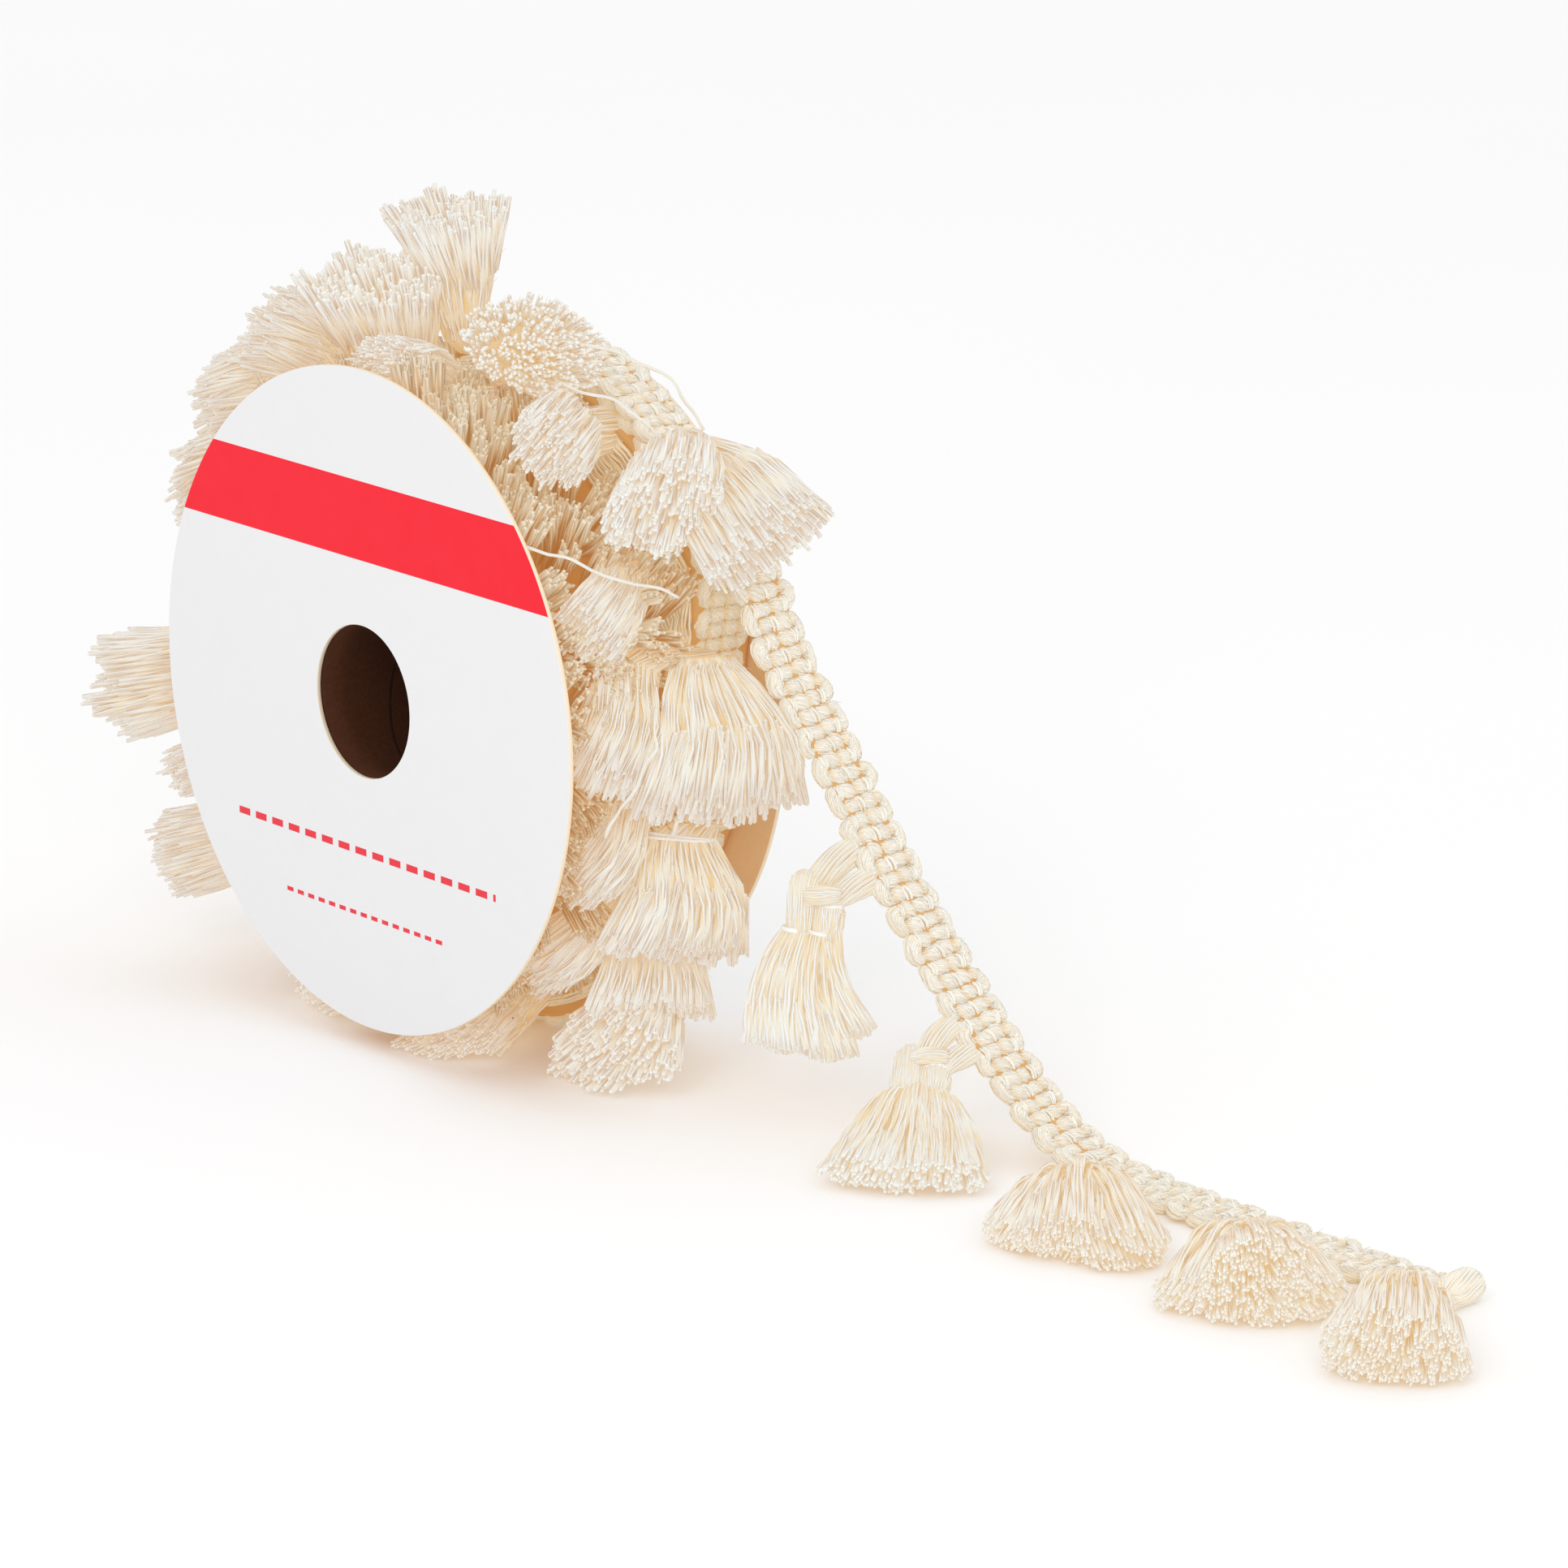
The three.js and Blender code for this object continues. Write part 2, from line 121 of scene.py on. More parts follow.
def centripetal(points, per_span=40):
    """Centripetal Catmull-Rom curve through the points, as dense points."""
    points = np.asarray(points, float)
    padded = np.vstack([2 * points[0] - points[1], points, 2 * points[-1] - points[-2]])
    step = np.diff(padded, axis=0)
    gap = np.linalg.norm(step, axis=1, keepdims=True) ** 0.5
    slope = step / gap
    slope = slope[:-1] + slope[1:] - (padded[2:] - padded[:-2]) / (gap[:-1] + gap[1:])
    start, end, slope, gap = points[:-1, None], points[1:, None], slope[:, None], gap[1:-1, None]
    u = np.linspace(0, 1, per_span, endpoint=False)[:, None]
    curve = lerp(start, end, u * u * (3 - 2 * u))
    curve = curve + gap * u * (1 - u) * (slope[:-1] * (1 - u) - slope[1:] * u)
    return np.vstack([curve.reshape(-1, 3), points[-1:]])


# Camera

CAMERA_SPOT = (1472.5, -1097.8, 465.5 + AXIS_HEIGHT)
CAMERA_AZIMUTH = 50.9
CAMERA_ELEVATION = 15.0
CAMERA_LENS = 177.0


def add_at(name, data, spot, back):
    """A camera or light at a spot in the row, turned so that its back faces that way."""
    thing = bpy.data.objects.new(name, data)
    bpy.context.scene.collection.objects.link(thing)
    thing.matrix_world = Matrix.LocRotScale(Vector(spot), Vector(back).to_track_quat("Z", "Y"), None)
    return thing


def make_camera():
    data = bpy.data.cameras.new("camera")
    data.lens = CAMERA_LENS
    data.sensor_width = 36.0
    data.clip_start = 0.05
    data.clip_end = 20.0
    az, el = math.radians(CAMERA_AZIMUTH), math.radians(CAMERA_ELEVATION)
    back = (math.sin(az) * math.cos(el), -math.cos(az) * math.cos(el), math.sin(el))
    bpy.context.scene.camera = add_at("camera", data, to_row(CAMERA_SPOT), back)


# Materials

def srgb(*channels):
    shares = [channel / 255.0 for channel in channels]
    return [s / 12.92 if s <= 0.04045 else ((s + 0.055) / 1.055) ** 2.4 for s in shares]


class Nodes:
    """A short way to write a node tree."""

    def __init__(self, name):
        self.material = bpy.data.materials.new(name)
        self.material.use_nodes = True
        self.material.cycles.emission_sampling = "NONE"
        self.tree = self.material.node_tree
        self.shader = self.tree.nodes["Principled BSDF"]

    def add(self, kind, inputs=(), **settings):
        node = self.tree.nodes.new(kind)
        for key, value in settings.items():
            setattr(node, key, value)
        for key, value in dict(inputs).items():
            self.put(node.inputs[key], value)
        return node

    def put(self, socket, value):
        if isinstance(value, bpy.types.NodeSocket):
            self.tree.links.new(value, socket)
        else:
            socket.default_value = (*value, 1) if socket.type == "RGBA" else value

    def set(self, **values):
        for key, value in values.items():
            self.put(self.shader.inputs[key.replace("_", " ")], value)

    def math(self, operation, a, b=0.0):
        return self.add("ShaderNodeMath", {0: a, 1: b}, operation=operation).outputs[0]

    def plus(self, a, b):
        return self.math("ADD", a, b)

    def minus(self, a, b):
        return self.math("SUBTRACT", a, b)

    def times(self, a, b):
        return self.math("MULTIPLY", a, b)

    def swing(self, base, value, middle, amount):
        """base, moved by how far value is from its middle."""
        return self.plus(base, self.times(self.minus(value, middle), amount))

    def mix(self, factor, a, b):
        node = self.add("ShaderNodeMix", {"Factor": factor}, data_type="RGBA")
        self.put(node.inputs[6], a)
        self.put(node.inputs[7], b)
        return node.outputs[2]

    def noise(self, place, scale, detail=2.0, roughness=0.5):
        inputs = {"Vector": place, "Scale": scale, "Detail": detail, "Roughness": roughness}
        return self.add("ShaderNodeTexNoise", inputs).outputs["Fac"]

    def coordinate(self, kind="Object"):
        return self.add("ShaderNodeTexCoord").outputs[kind]

    def split(self, vector):
        return self.add("ShaderNodeSeparateXYZ", {0: vector}).outputs

    def attribute(self, name):
        return self.add("ShaderNodeAttribute", attribute_name=name).outputs["Fac"]

    def step(self, value, low, high):
        """0 below low and 1 above high."""
        inputs = {"Value": value, "From Min": low, "From Max": high}
        return self.add("ShaderNodeMapRange", inputs, interpolation_type="SMOOTHSTEP").outputs["Result"]

    def between(self, value, low, high):
        """1 between two millimetre values, with a fine soft edge."""
        rise, fall = (self.step(value, edge * MM - INK_EDGE, edge * MM + INK_EDGE) for edge in (low, high))
        return self.times(rise, self.minus(1.0, fall))

    def bump(self, height, strength, distance, **normal):
        inputs = {"Height": height, "Strength": strength, "Distance": distance, **normal}
        return self.add("ShaderNodeBump", inputs).outputs["Normal"]


# Yarn colours where it lies open and where it lies deep, the deep ones painted shade: what it reflects,
# and a painted glow, set as emission, that lifts its shade warm
Yarn = namedtuple("Yarn", "light light_glow deep deep_glow")
OPEN_YARN = Yarn((0.38, 0.605, 0.69), (0.51, 0.298, 0.184), (0.36, 0.44, 0.34), (0.52, 0.258, 0.09))
# TABLE_YARN: a lit copy of OPEN_YARN with more painted glow, for the tassels that lie on the table
TABLE_YARN = Yarn((0.36, 0.58, 0.67), (0.57, 0.345, 0.205), (0.34, 0.43, 0.34), (0.55, 0.275, 0.09))
BRAID_YARN = Yarn((0.68, 0.72, 0.71), (0.32, 0.27, 0.21), (0.60, 0.55, 0.43), (0.375, 0.24, 0.105))
# BED_YARN: a darker copy with less painted glow, painted shade for the cut ends deep in the reel
BED_YARN = Yarn((0.52, 0.56, 0.50), (0.33, 0.205, 0.11), (0.42, 0.29, 0.13), (0.27, 0.105, 0.025))
THREAD = Yarn((0.80, 0.80, 0.79), (0.14, 0.13, 0.12), (0.80, 0.79, 0.77), (0.14, 0.13, 0.12))
SEED_BROWN = srgb(120, 80, 50)
SEED_SHARE = 0.006
PLIES = 3.0
TWIST_MM = 11.0
FIBRE_DEPTH = 0.0002
PLY_DEPTH = 0.00022


def cotton(name, colours, twist=1.0, seeds=0.0, rough=0.3):
    """Spun cotton yarn, plied and a little uneven; painted warm shade where it lies deep, and a painted glow.
    """
    n = Nodes(name)
    place = n.coordinate()
    round_yarn, along, _ = n.split(n.coordinate("UV"))
    turn = n.plus(n.times(round_yarn, PLIES), n.times(along, 1.0 / TWIST_MM))
    wave = n.math("SINE", n.times(turn, 2 * PI))
    fibres = n.noise(place, 2600.0, 2.0, 0.7)
    lit = n.swing(n.attribute("shade"), n.attribute("tone"), 0.5, 0.24)
    lit = n.swing(lit, n.noise(place, 90.0, 3.0), 0.5, 0.4)
    # painted shade in the grooves between the plies
    lit = n.swing(lit, wave, 0.3, 0.28 * twist)
    open_share = n.step(lit, 0.0, 0.95)
    colour = n.mix(open_share, colours.deep, colours.light)
    # painted glow: emission that lifts the shade, though the yarn is no lamp
    glow = n.mix(open_share, colours.deep_glow, colours.light_glow)
    if seeds:
        cell = n.add("ShaderNodeTexVoronoi", {"Vector": place, "Scale": 260.0})
        near = n.math("LESS_THAN", cell.outputs["Distance"], 0.13)
        pick = n.add("ShaderNodeSeparateColor", {0: cell.outputs["Color"]}).outputs[0]
        rare = n.times(near, n.math("GREATER_THAN", pick, 1.0 - seeds))
        colour = n.mix(rare, colour, SEED_BROWN)
        glow = n.mix(rare, glow, (0.0, 0.0, 0.0))
    normal = n.bump(fibres, rough, FIBRE_DEPTH)
    normal = n.bump(wave, 0.6 * twist, PLY_DEPTH, Normal=normal)
    n.set(Base_Color=colour, Normal=normal, Emission_Color=glow, Emission_Strength=1.0)
    n.set(Roughness=0.92, Specular_IOR_Level=0.1, Sheen_Weight=0.1, Sheen_Roughness=0.6)
    return n.material


# The printed face: heights of the band, and of each dashed rule with its half length, the pitch
# of its dashes and their share of the pitch
RED_BAND = (35.3, 55.0)
Rule = namedtuple("Rule", "low high half pitch dash")
RULES = (Rule(-38.9, -37.1, 53.0, 7.0, 0.66), Rule(-54.6, -53.5, 33.0, 4.4, 0.6))
INK_EDGE = 0.00006
BAND_RED = srgb(238, 18, 42)
BAND_MOTTLE = srgb(222, 22, 44)
RULE_RED = srgb(226, 52, 66)
CARD_WHITE = srgb(228, 228, 229)
CARD_MOTTLE = srgb(209, 208, 205)
CARD_KRAFT = srgb(238, 207, 168)
KRAFT_FLECK = srgb(216, 180, 138)
CARD_EDGE = srgb(238, 222, 194)
# the bore tube: brown card painted much darker as painted shade inside the bore, its seam groove darkest
TUBE_SHADED_BROWN = srgb(88, 48, 24)
TUBE_SHADED_DARK = srgb(52, 24, 11)
TUBE_SHADED_SEAM = srgb(24, 10, 4)
SEAM_PITCH = 0.036


def from_axis(n):
    """Distances to the right of the reel's axis and above it, and along it, in metres."""
    x, y, z = n.split(n.coordinate())
    return n.minus(x, ORIGIN[0]), n.minus(z, AXIS_HEIGHT * MM + ORIGIN[2]), y


def card_disc(name, printed):
    """White coated card, kraft inside and on its cut edge, with a plain red band where printed."""
    n = Nodes(name)
    facing = n.split(n.add("ShaderNodeNewGeometry").outputs["Normal"])["Y"]
    outward = n.times(facing, -1.0 if printed else 1.0)
    mottle = n.noise(n.coordinate(), 160.0, 4.0, 0.6)
    fine = n.noise(n.coordinate(), 1500.0, 3.0, 0.6)
    white = n.mix(n.times(mottle, 0.12), CARD_WHITE, CARD_MOTTLE)
    if printed:
        across, height, _ = from_axis(n)
        ink = n.mix(n.times(fine, 0.18), BAND_RED, BAND_MOTTLE)
        white = n.mix(n.between(height, *RED_BAND), white, ink)
        for rule in RULES:
            line = n.between(height, rule.low, rule.high)
            span = n.between(across, -rule.half, rule.half)
            place = n.math("DIVIDE", n.plus(across, rule.half * MM), rule.pitch * MM)
            dash = n.math("LESS_THAN", n.math("FRACT", place), rule.dash)
            white = n.mix(n.times(n.times(line, span), dash), white, RULE_RED)
    flecks = n.noise(n.coordinate(), 900.0, 3.0, 0.7)
    kraft = n.mix(n.times(flecks, 0.5), CARD_KRAFT, KRAFT_FLECK)
    colour = n.mix(n.step(outward, 0.6, 0.8), CARD_EDGE, white)
    colour = n.mix(n.step(n.times(outward, -1.0), 0.6, 0.8), colour, kraft)
    n.set(Base_Color=colour, Normal=n.bump(fine, 0.12, 0.00005))
    n.set(Roughness=n.plus(0.5, n.times(mottle, 0.18)), Specular_IOR_Level=0.3)
    return n.material


def card_tube():
    """Brown spiral-wound card, painted much darker for the shade inside the bore."""
    n = Nodes("card_tube")
    across, height, along = from_axis(n)
    flecks = n.noise(n.coordinate(), 800.0, 4.0, 0.7)
    around = n.math("DIVIDE", n.math("ARCTAN2", height, across), 2 * PI)
    seam = n.math("FRACT", n.plus(around, n.math("DIVIDE", along, SEAM_PITCH)))
    groove = n.math("LESS_THAN", seam, 0.02)
    colour = n.mix(n.times(groove, 0.7), n.mix(flecks, TUBE_SHADED_BROWN, TUBE_SHADED_DARK), TUBE_SHADED_SEAM)
    n.set(Base_Color=colour, Normal=n.bump(flecks, 0.3, 0.0001))
    n.set(Roughness=0.85, Specular_IOR_Level=0.2)
    return n.material


tassel_yarn = cotton("tassel_yarn", OPEN_YARN, seeds=SEED_SHARE)
table_yarn = cotton("table_yarn", TABLE_YARN, seeds=SEED_SHARE)
braid_yarn = cotton("braid_yarn", BRAID_YARN, twist=1.2, seeds=SEED_SHARE, rough=0.45)
bed_yarn = cotton("bed_yarn", BED_YARN)
# yarn in painted deep shade, for the wound mass and the braid's core
deep_yarn = cotton("deep_yarn", BED_YARN, twist=0.3)
tie_thread = cotton("tie_thread", THREAD, twist=0.6)
TIE_SLOT = 1


# Meshes

def ring_quads(rings, sides, closed=False):
    """Quads between neighbouring rings of points; closed joins the last ring to the first."""
    s, j = np.meshgrid(np.arange(rings if closed else rings - 1), np.arange(sides), indexing="ij")
    s2, j2 = (s + 1) % rings, (j + 1) % sides
    corners = (s * sides + j, s * sides + j2, s2 * sides + j2, s2 * sides + j)
    return np.stack(corners, axis=-1).reshape(-1, 4)


def tube_caps(rings, sides):
    """Triangles from a tube's two end points, which follow its rings, to its first and last ring."""
    j = np.arange(sides)
    k = (j + 1) % sides
    first, base = rings * sides, (rings - 1) * sides
    fans = ((np.full(sides, first), k, j), (np.full(sides, first + 1), base + j, base + k))
    return np.concatenate([np.stack(fan, axis=1) for fan in fans])


def point_values(mesh, **values):
    for key, array in values.items():
        attribute = mesh.attributes.new(key, "FLOAT", "POINT")
        attribute.data.foreach_set("value", array.astype(np.float32))


def add_piece(name, mesh, *materials):
    for material in materials:
        mesh.materials.append(material)
    piece = bpy.data.objects.new(name, mesh)
    bpy.context.scene.collection.objects.link(piece)
    return piece


def solid_piece(name, rings, material, shade, closed):
    """A closed mesh through rings of points, in one shade, its face normals outward."""
    count, sides, _ = rings.shape
    faces = ring_quads(count, sides, closed).tolist()
    if not closed:
        faces += [list(range(sides))[::-1], list(range((count - 1) * sides, count * sides))]
    mesh = bpy.data.meshes.new(name)
    mesh.from_pydata(to_row(rings.reshape(-1, 3)).tolist(), [], faces)
    even = np.full(count * sides, shade)
    point_values(mesh, shade=even, tone=even)
    work = bmesh.new()
    work.from_mesh(mesh)
    bmesh.ops.recalc_face_normals(work, faces=work.faces)
    work.to_mesh(mesh)
    work.free()
    return add_piece(name, mesh, material)


def settle(piece, slot, *nodes):
    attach(piece, "root")
    if nodes:
        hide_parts(*nodes)
    return piece


# Strands

HAIR_RADII = (0.08, 0.032)


def carried_axes(paths):
    """Tangents, and two unit vectors across each strand that don't spin along it."""
    tangent = unit(np.gradient(paths, axis=1) + 1e-12)
    steep = np.abs(tangent[:, 0, 2:]) > 0.9
    one = np.empty_like(paths)
    side = np.cross(np.where(steep, np.array([1.0, 0.0, 0.0]), UP), tangent[:, 0])
    for step in range(paths.shape[1]):
        side = unit(square_to(side, tangent[:, step]))
        one[:, step] = side
    return tangent, one, np.cross(tangent, one)


class Strands:
    """Many tubes, each closed at both ends, that become one mesh; their random draws too."""

    def __init__(self, seed):
        self.rng = np.random.default_rng(seed)
        self.count = 0
        self.arrays = defaultdict(list)

    def tubes(self, paths, radii, sides, shade, tone=None, slot=0):
        """Tubes along paths, (strands, steps, 3) or a single path; tone is one per strand."""
        paths = np.array(paths, float).reshape(-1, *np.shape(paths)[-2:])
        n, steps, _ = paths.shape
        tone = self.rng.random(n) if tone is None else np.broadcast_to(tone, (n,))
        radii = np.broadcast_to(radii, (n, steps))
        np.maximum(paths[..., 2], radii + 0.03, out=paths[..., 2])
        tangent, one, two = carried_axes(paths)
        turn = (2 * PI * np.arange(sides) / sides)[:, None]
        ring = one[:, :, None] * np.cos(turn) + two[:, :, None] * np.sin(turn)
        body = paths[:, :, None] + ring * radii[:, :, None, None]
        over = tangent[:, [0, -1]] * radii[:, [0, -1], None] * [[-0.5], [0.5]]
        shade = np.broadcast_to(np.broadcast_to(shade, (n, steps))[..., None], (n, steps, sides))
        self.store(body, paths[:, [0, -1]] + over, shade, tone, 1, slot)

    def store(self, body, ends, shade, tone, yarns=1, slot=0):
        """body is (strands, steps, sides, 3) and its ends (strands, 2, 3)."""
        n, steps, sides, _ = body.shape
        quads, caps = ring_quads(steps, sides), tube_caps(steps, sides)
        corners = np.concatenate([quads.ravel(), caps.ravel()])
        run = run_along(body.mean(2)) + 7.0 * tone[:, None]
        run = np.concatenate([np.repeat(run, sides, axis=1), run[:, [0, -1]]], axis=1)
        around = (np.arange(sides)[:, None] + [0, 1, 1, 0]) * yarns / sides
        uv = np.zeros((n, len(corners), 2))
        uv[:, :quads.size, 0] = np.tile(around.ravel(), steps - 1)
        uv[..., 1] = run[:, corners]
        first = self.count + run.shape[1] * np.arange(n)[:, None]
        sizes = np.tile(np.repeat([4, 3], [len(quads), len(caps)]), n)
        made = {
            "points": np.concatenate([body.reshape(n, -1, 3), ends], axis=1).reshape(-1, 3),
            "shade": np.concatenate([shade.reshape(n, -1), shade[:, [0, -1]].mean(2)], axis=1).ravel(),
            "tone": np.repeat(tone, run.shape[1]),
            "corners": (corners + first).ravel(),
            "uv": uv.ravel(),
            "sizes": sizes,
            "slots": np.full(len(sizes), slot),
        }
        for key, array in made.items():
            self.arrays[key].append(array)
        self.count += run.size

    def piece(self, name, material, *nodes):
        """The mesh of all the strands, above the table, with tie thread as its second material."""
        of = {key: np.concatenate(arrays) for key, arrays in self.arrays.items()}
        points, sizes = of["points"], of["sizes"]
        points[:, 2] = np.maximum(points[:, 2], LOWEST)
        mesh = bpy.data.meshes.new(name)
        mesh.vertices.add(len(points))
        mesh.vertices.foreach_set("co", to_row(points).astype(np.float32).ravel())
        mesh.loops.add(len(of["corners"]))
        mesh.loops.foreach_set("vertex_index", of["corners"])
        mesh.polygons.add(len(sizes))
        mesh.polygons.foreach_set("loop_start", sizes.cumsum() - sizes)
        mesh.polygons.foreach_set("use_smooth", np.ones(len(sizes), bool))
        mesh.polygons.foreach_set("material_index", of["slots"].astype(np.int32))
        mesh.uv_layers.new(name="yarn").data.foreach_set("uv", of["uv"])
        point_values(mesh, shade=of["shade"], tone=of["tone"])
        mesh.update(calc_edges=True)
        return settle(add_piece(name, mesh, material, tie_thread), "cotton", *nodes)

    def bundle(self, paths, uneven, shade):
        """Head yarns side by side, each a little uneven."""
        self.tubes(paths + self.rng.normal(0, uneven, paths.shape), HEAD_YARN, sides=4, shade=shade)

    def hairs(self, paths, count, reach, shade):
        """Fine hairs that stand off the strands."""
        rng = self.rng
        n, steps, _ = paths.shape
        strand = rng.integers(0, n, count)
        step = rng.integers(steps // 4, steps - 1, count)
        start = paths[strand, step]
        along = unit(paths[strand, step + 1] - start + 1e-9)
        away = unit(square_to(rng.normal(size=(count, 3)), along))
        length = reach * rng.uniform(0.5, 1.3, (count, 1))
        end = start + (along * 0.8 + away * rng.uniform(0.25, 0.7, (count, 1))) * length
        self.tubes(np.stack([start, end], axis=1), HAIR_RADII, sides=3, shade=shade)

    def frayed_ends(self, paths, split, length, spread, radius, shade=1.0):
        """Each strand's cut end opens into a few softer ones."""
        rng, n = self.rng, len(paths)
        last = paths[:, -1:]
        along = unit(last - paths[:, -2:-1])
        away = square_to(rng.normal(size=(n, split, 3)), along)
        away *= rng.uniform(0.3, 1.0, (n, split, 1)) / np.linalg.norm(away, axis=2, keepdims=True)
        reach = length * rng.uniform(0.3, 1.15, (n, split, 1))
        base = last - along * length * 0.4 + away * radius * 0.5
        end = last + along * reach * 0.6 + away * spread
        tufts = np.stack([base, end], axis=2).reshape(n * split, 2, 3)
        self.tubes(tufts, np.array([0.8, 1.0]) * radius, 3, shade, np.repeat(rng.random(n), split))


# Tassels

YARN_RADIUS = 0.62
NECK_SHARE = 0.1
END_FILL = 1.35
PILE_SHARE = 0.78
HUMP = 3.0
CRIMP = 0.24
FLARE = 0.64
LOBE_RADIUS = 3.8
LOOP_SIZE = np.array([6.5, 4.2])
ROOT_SIZE = np.array([6.0, 2.4])
GOLDEN_ANGLE = PI * (3 - math.sqrt(5))


def disc_places(count, rng, crowd=0.5):
    """Spread places in a unit disc; a lower crowd sets more of them near its rim."""
    k = np.arange(count) + 0.5
    angle = k * GOLDEN_ANGLE + rng.normal(0, 0.12, count)
    radius = np.clip((k / count) ** crowd + rng.normal(0, 0.03, count), 0, 1)
    return np.stack([radius * np.cos(angle), radius * np.sin(angle)], axis=1)


class Tassel:
    """Axes and sizes of one tassel, from the same few values as its solid."""

    def __init__(self, head, tip, hint, wide, deep, level=False, bow=0.0, root=None, loop=1.0,
                 neck_at=NECK_SHARE, half_neck=3.0, pile=PILE_SHARE, hump=HUMP, solid=0.7, flare=FLARE):
        self.head, self.tip = head, tip = np.array(head, float), np.array(tip, float)
        self.level, self.hump, self.solid, self.flare = level, hump, solid, flare
        self.pile = pile if level else 1.0
        self.half = np.array([wide / 2, deep / 2])
        self.along = unit(tip - head)
        self.wide_axis = unit(square_to(hint, self.along))
        self.deep_axis = unit(np.cross(self.along, self.wide_axis))
        if self.deep_axis[2] < 0:
            self.deep_axis = -self.deep_axis
            self.wide_axis = -self.wide_axis
        self.flat_up = UP if level else self.deep_axis
        middle = lerp(head, tip, 0.5) + bow
        if level:
            middle[2] = lerp(head[2], tip[2], 0.75)
        self.route = centripetal([head, middle, tip] if root is None else [root, head, middle, tip])
        self.reach = run_along(self.route)
        self.reach /= self.reach[-1]
        if root is None:
            self.start = self.neck_at = neck_at
            self.neck = self.root = np.array([half_neck, 3.1])
        else:
            self.start = 0.0
            self.neck_at = self.reach[len(self.route) // 3]
            self.neck, self.root = LOOP_SIZE * loop, ROOT_SIZE * loop

    def axis(self, share):
        over = np.maximum(np.asarray(share) - 1, 0)[..., None]
        last = (self.route[-1] - self.route[-4]) / (self.reach[-1] - self.reach[-4])
        return read_at(self.route, self.reach, share) + over * last

    def across(self, offsets):
        return offsets[..., :1] * self.wide_axis + offsets[..., 1:] * self.flat_up

    def spread(self, spots, share):
        """Places of the unit-disc spots on the tassel's section at a share of its length."""
        opened = np.clip((share - self.neck_at) / (1 - self.neck_at), 0, 1.1)[..., None]
        flare = opened ** self.flare
        early = np.clip(share / max(self.neck_at, 1e-3), 0, 1)[..., None]
        local = spots * lerp(lerp(self.root, self.neck, early), self.half, flare)
        if self.level:
            room = np.sqrt(np.clip(1 - spots[..., 0] ** 2, 0, 1))
            pile = (spots[..., 1] + room) * self.half[1] * self.pile
            swell = np.sin(PI * np.clip(opened[..., 0], 0, 1) ** 0.7)
            rise = self.hump * (spots[..., 1] + 1) * swell / 2
            local[..., 1] = lerp(spots[..., 1] * self.neck[1], pile, flare[..., 0]) + rise
        return self.axis(share) + self.across(local)


def skirt_paths(t, spots, steps, rng, ragged, reach=1.0, start=0.0, pull=0.24, wave=0.5, tilt=0.0, crimp=0.0):
    """Yarns from the neck to the cut ends, drawn together in locks."""
    count = len(spots)
    locks = max(4, count // 9)
    centres = disc_places(locks, rng)
    owner = ((spots[:, None] - centres[None]) ** 2).sum(2).argmin(1)
    u = np.linspace(start, 1, steps)[None, :, None]
    drawn = lerp(spots, (centres + rng.normal(0, 0.05, centres.shape))[owner], pull)
    places = lerp(spots[:, None], drawn[:, None], smooth(u * 1.2))
    length = reach + rng.normal(0, 0.03 * ragged, locks)[owner] + rng.normal(0, 0.018 * ragged, count)
    length -= 0.07 * (spots ** 2).sum(1) + tilt * (spots[:, 1] + 1) / 2
    length -= (0.12 if t.level else 0.0) * spots[:, 0] ** 2
    paths = t.spread(places, t.start + (1 - t.start) * u[..., 0] * length[:, None])
    phase = rng.uniform(0, 2 * PI, (count, 1, 2))
    lock_phase = rng.uniform(0, 2 * PI, (locks, 2))[owner][:, None]
    turns = rng.uniform(0.8, 1.8, (count, 1, 1))
    sway = np.sin(u * turns * 2 * PI + phase) * 0.4 + np.sin(u * 4.2 + lock_phase) * 0.8
    paths = paths + rng.normal(0, 1, paths.shape) * crimp * smooth(u * 3)
    return paths + t.across(sway * wave * smooth(u * 1.4))


def between_discs(paths):
    """Yarn that lies lower than the discs' rims stays between them."""
    radius = np.hypot(paths[..., 0], paths[..., 2] - AXIS_HEIGHT)
    room = INNER_HALF - 1.2 + 40 * smooth((radius - FLANGE_RADIUS - 0.5) / 6)
    paths[..., 1] = np.clip(paths[..., 1], -room, room)
    return paths


STUB_START = 0.62
END_RADII = (0.5, 1.1)
FILLING_SHARE = (0.58, 0.42)


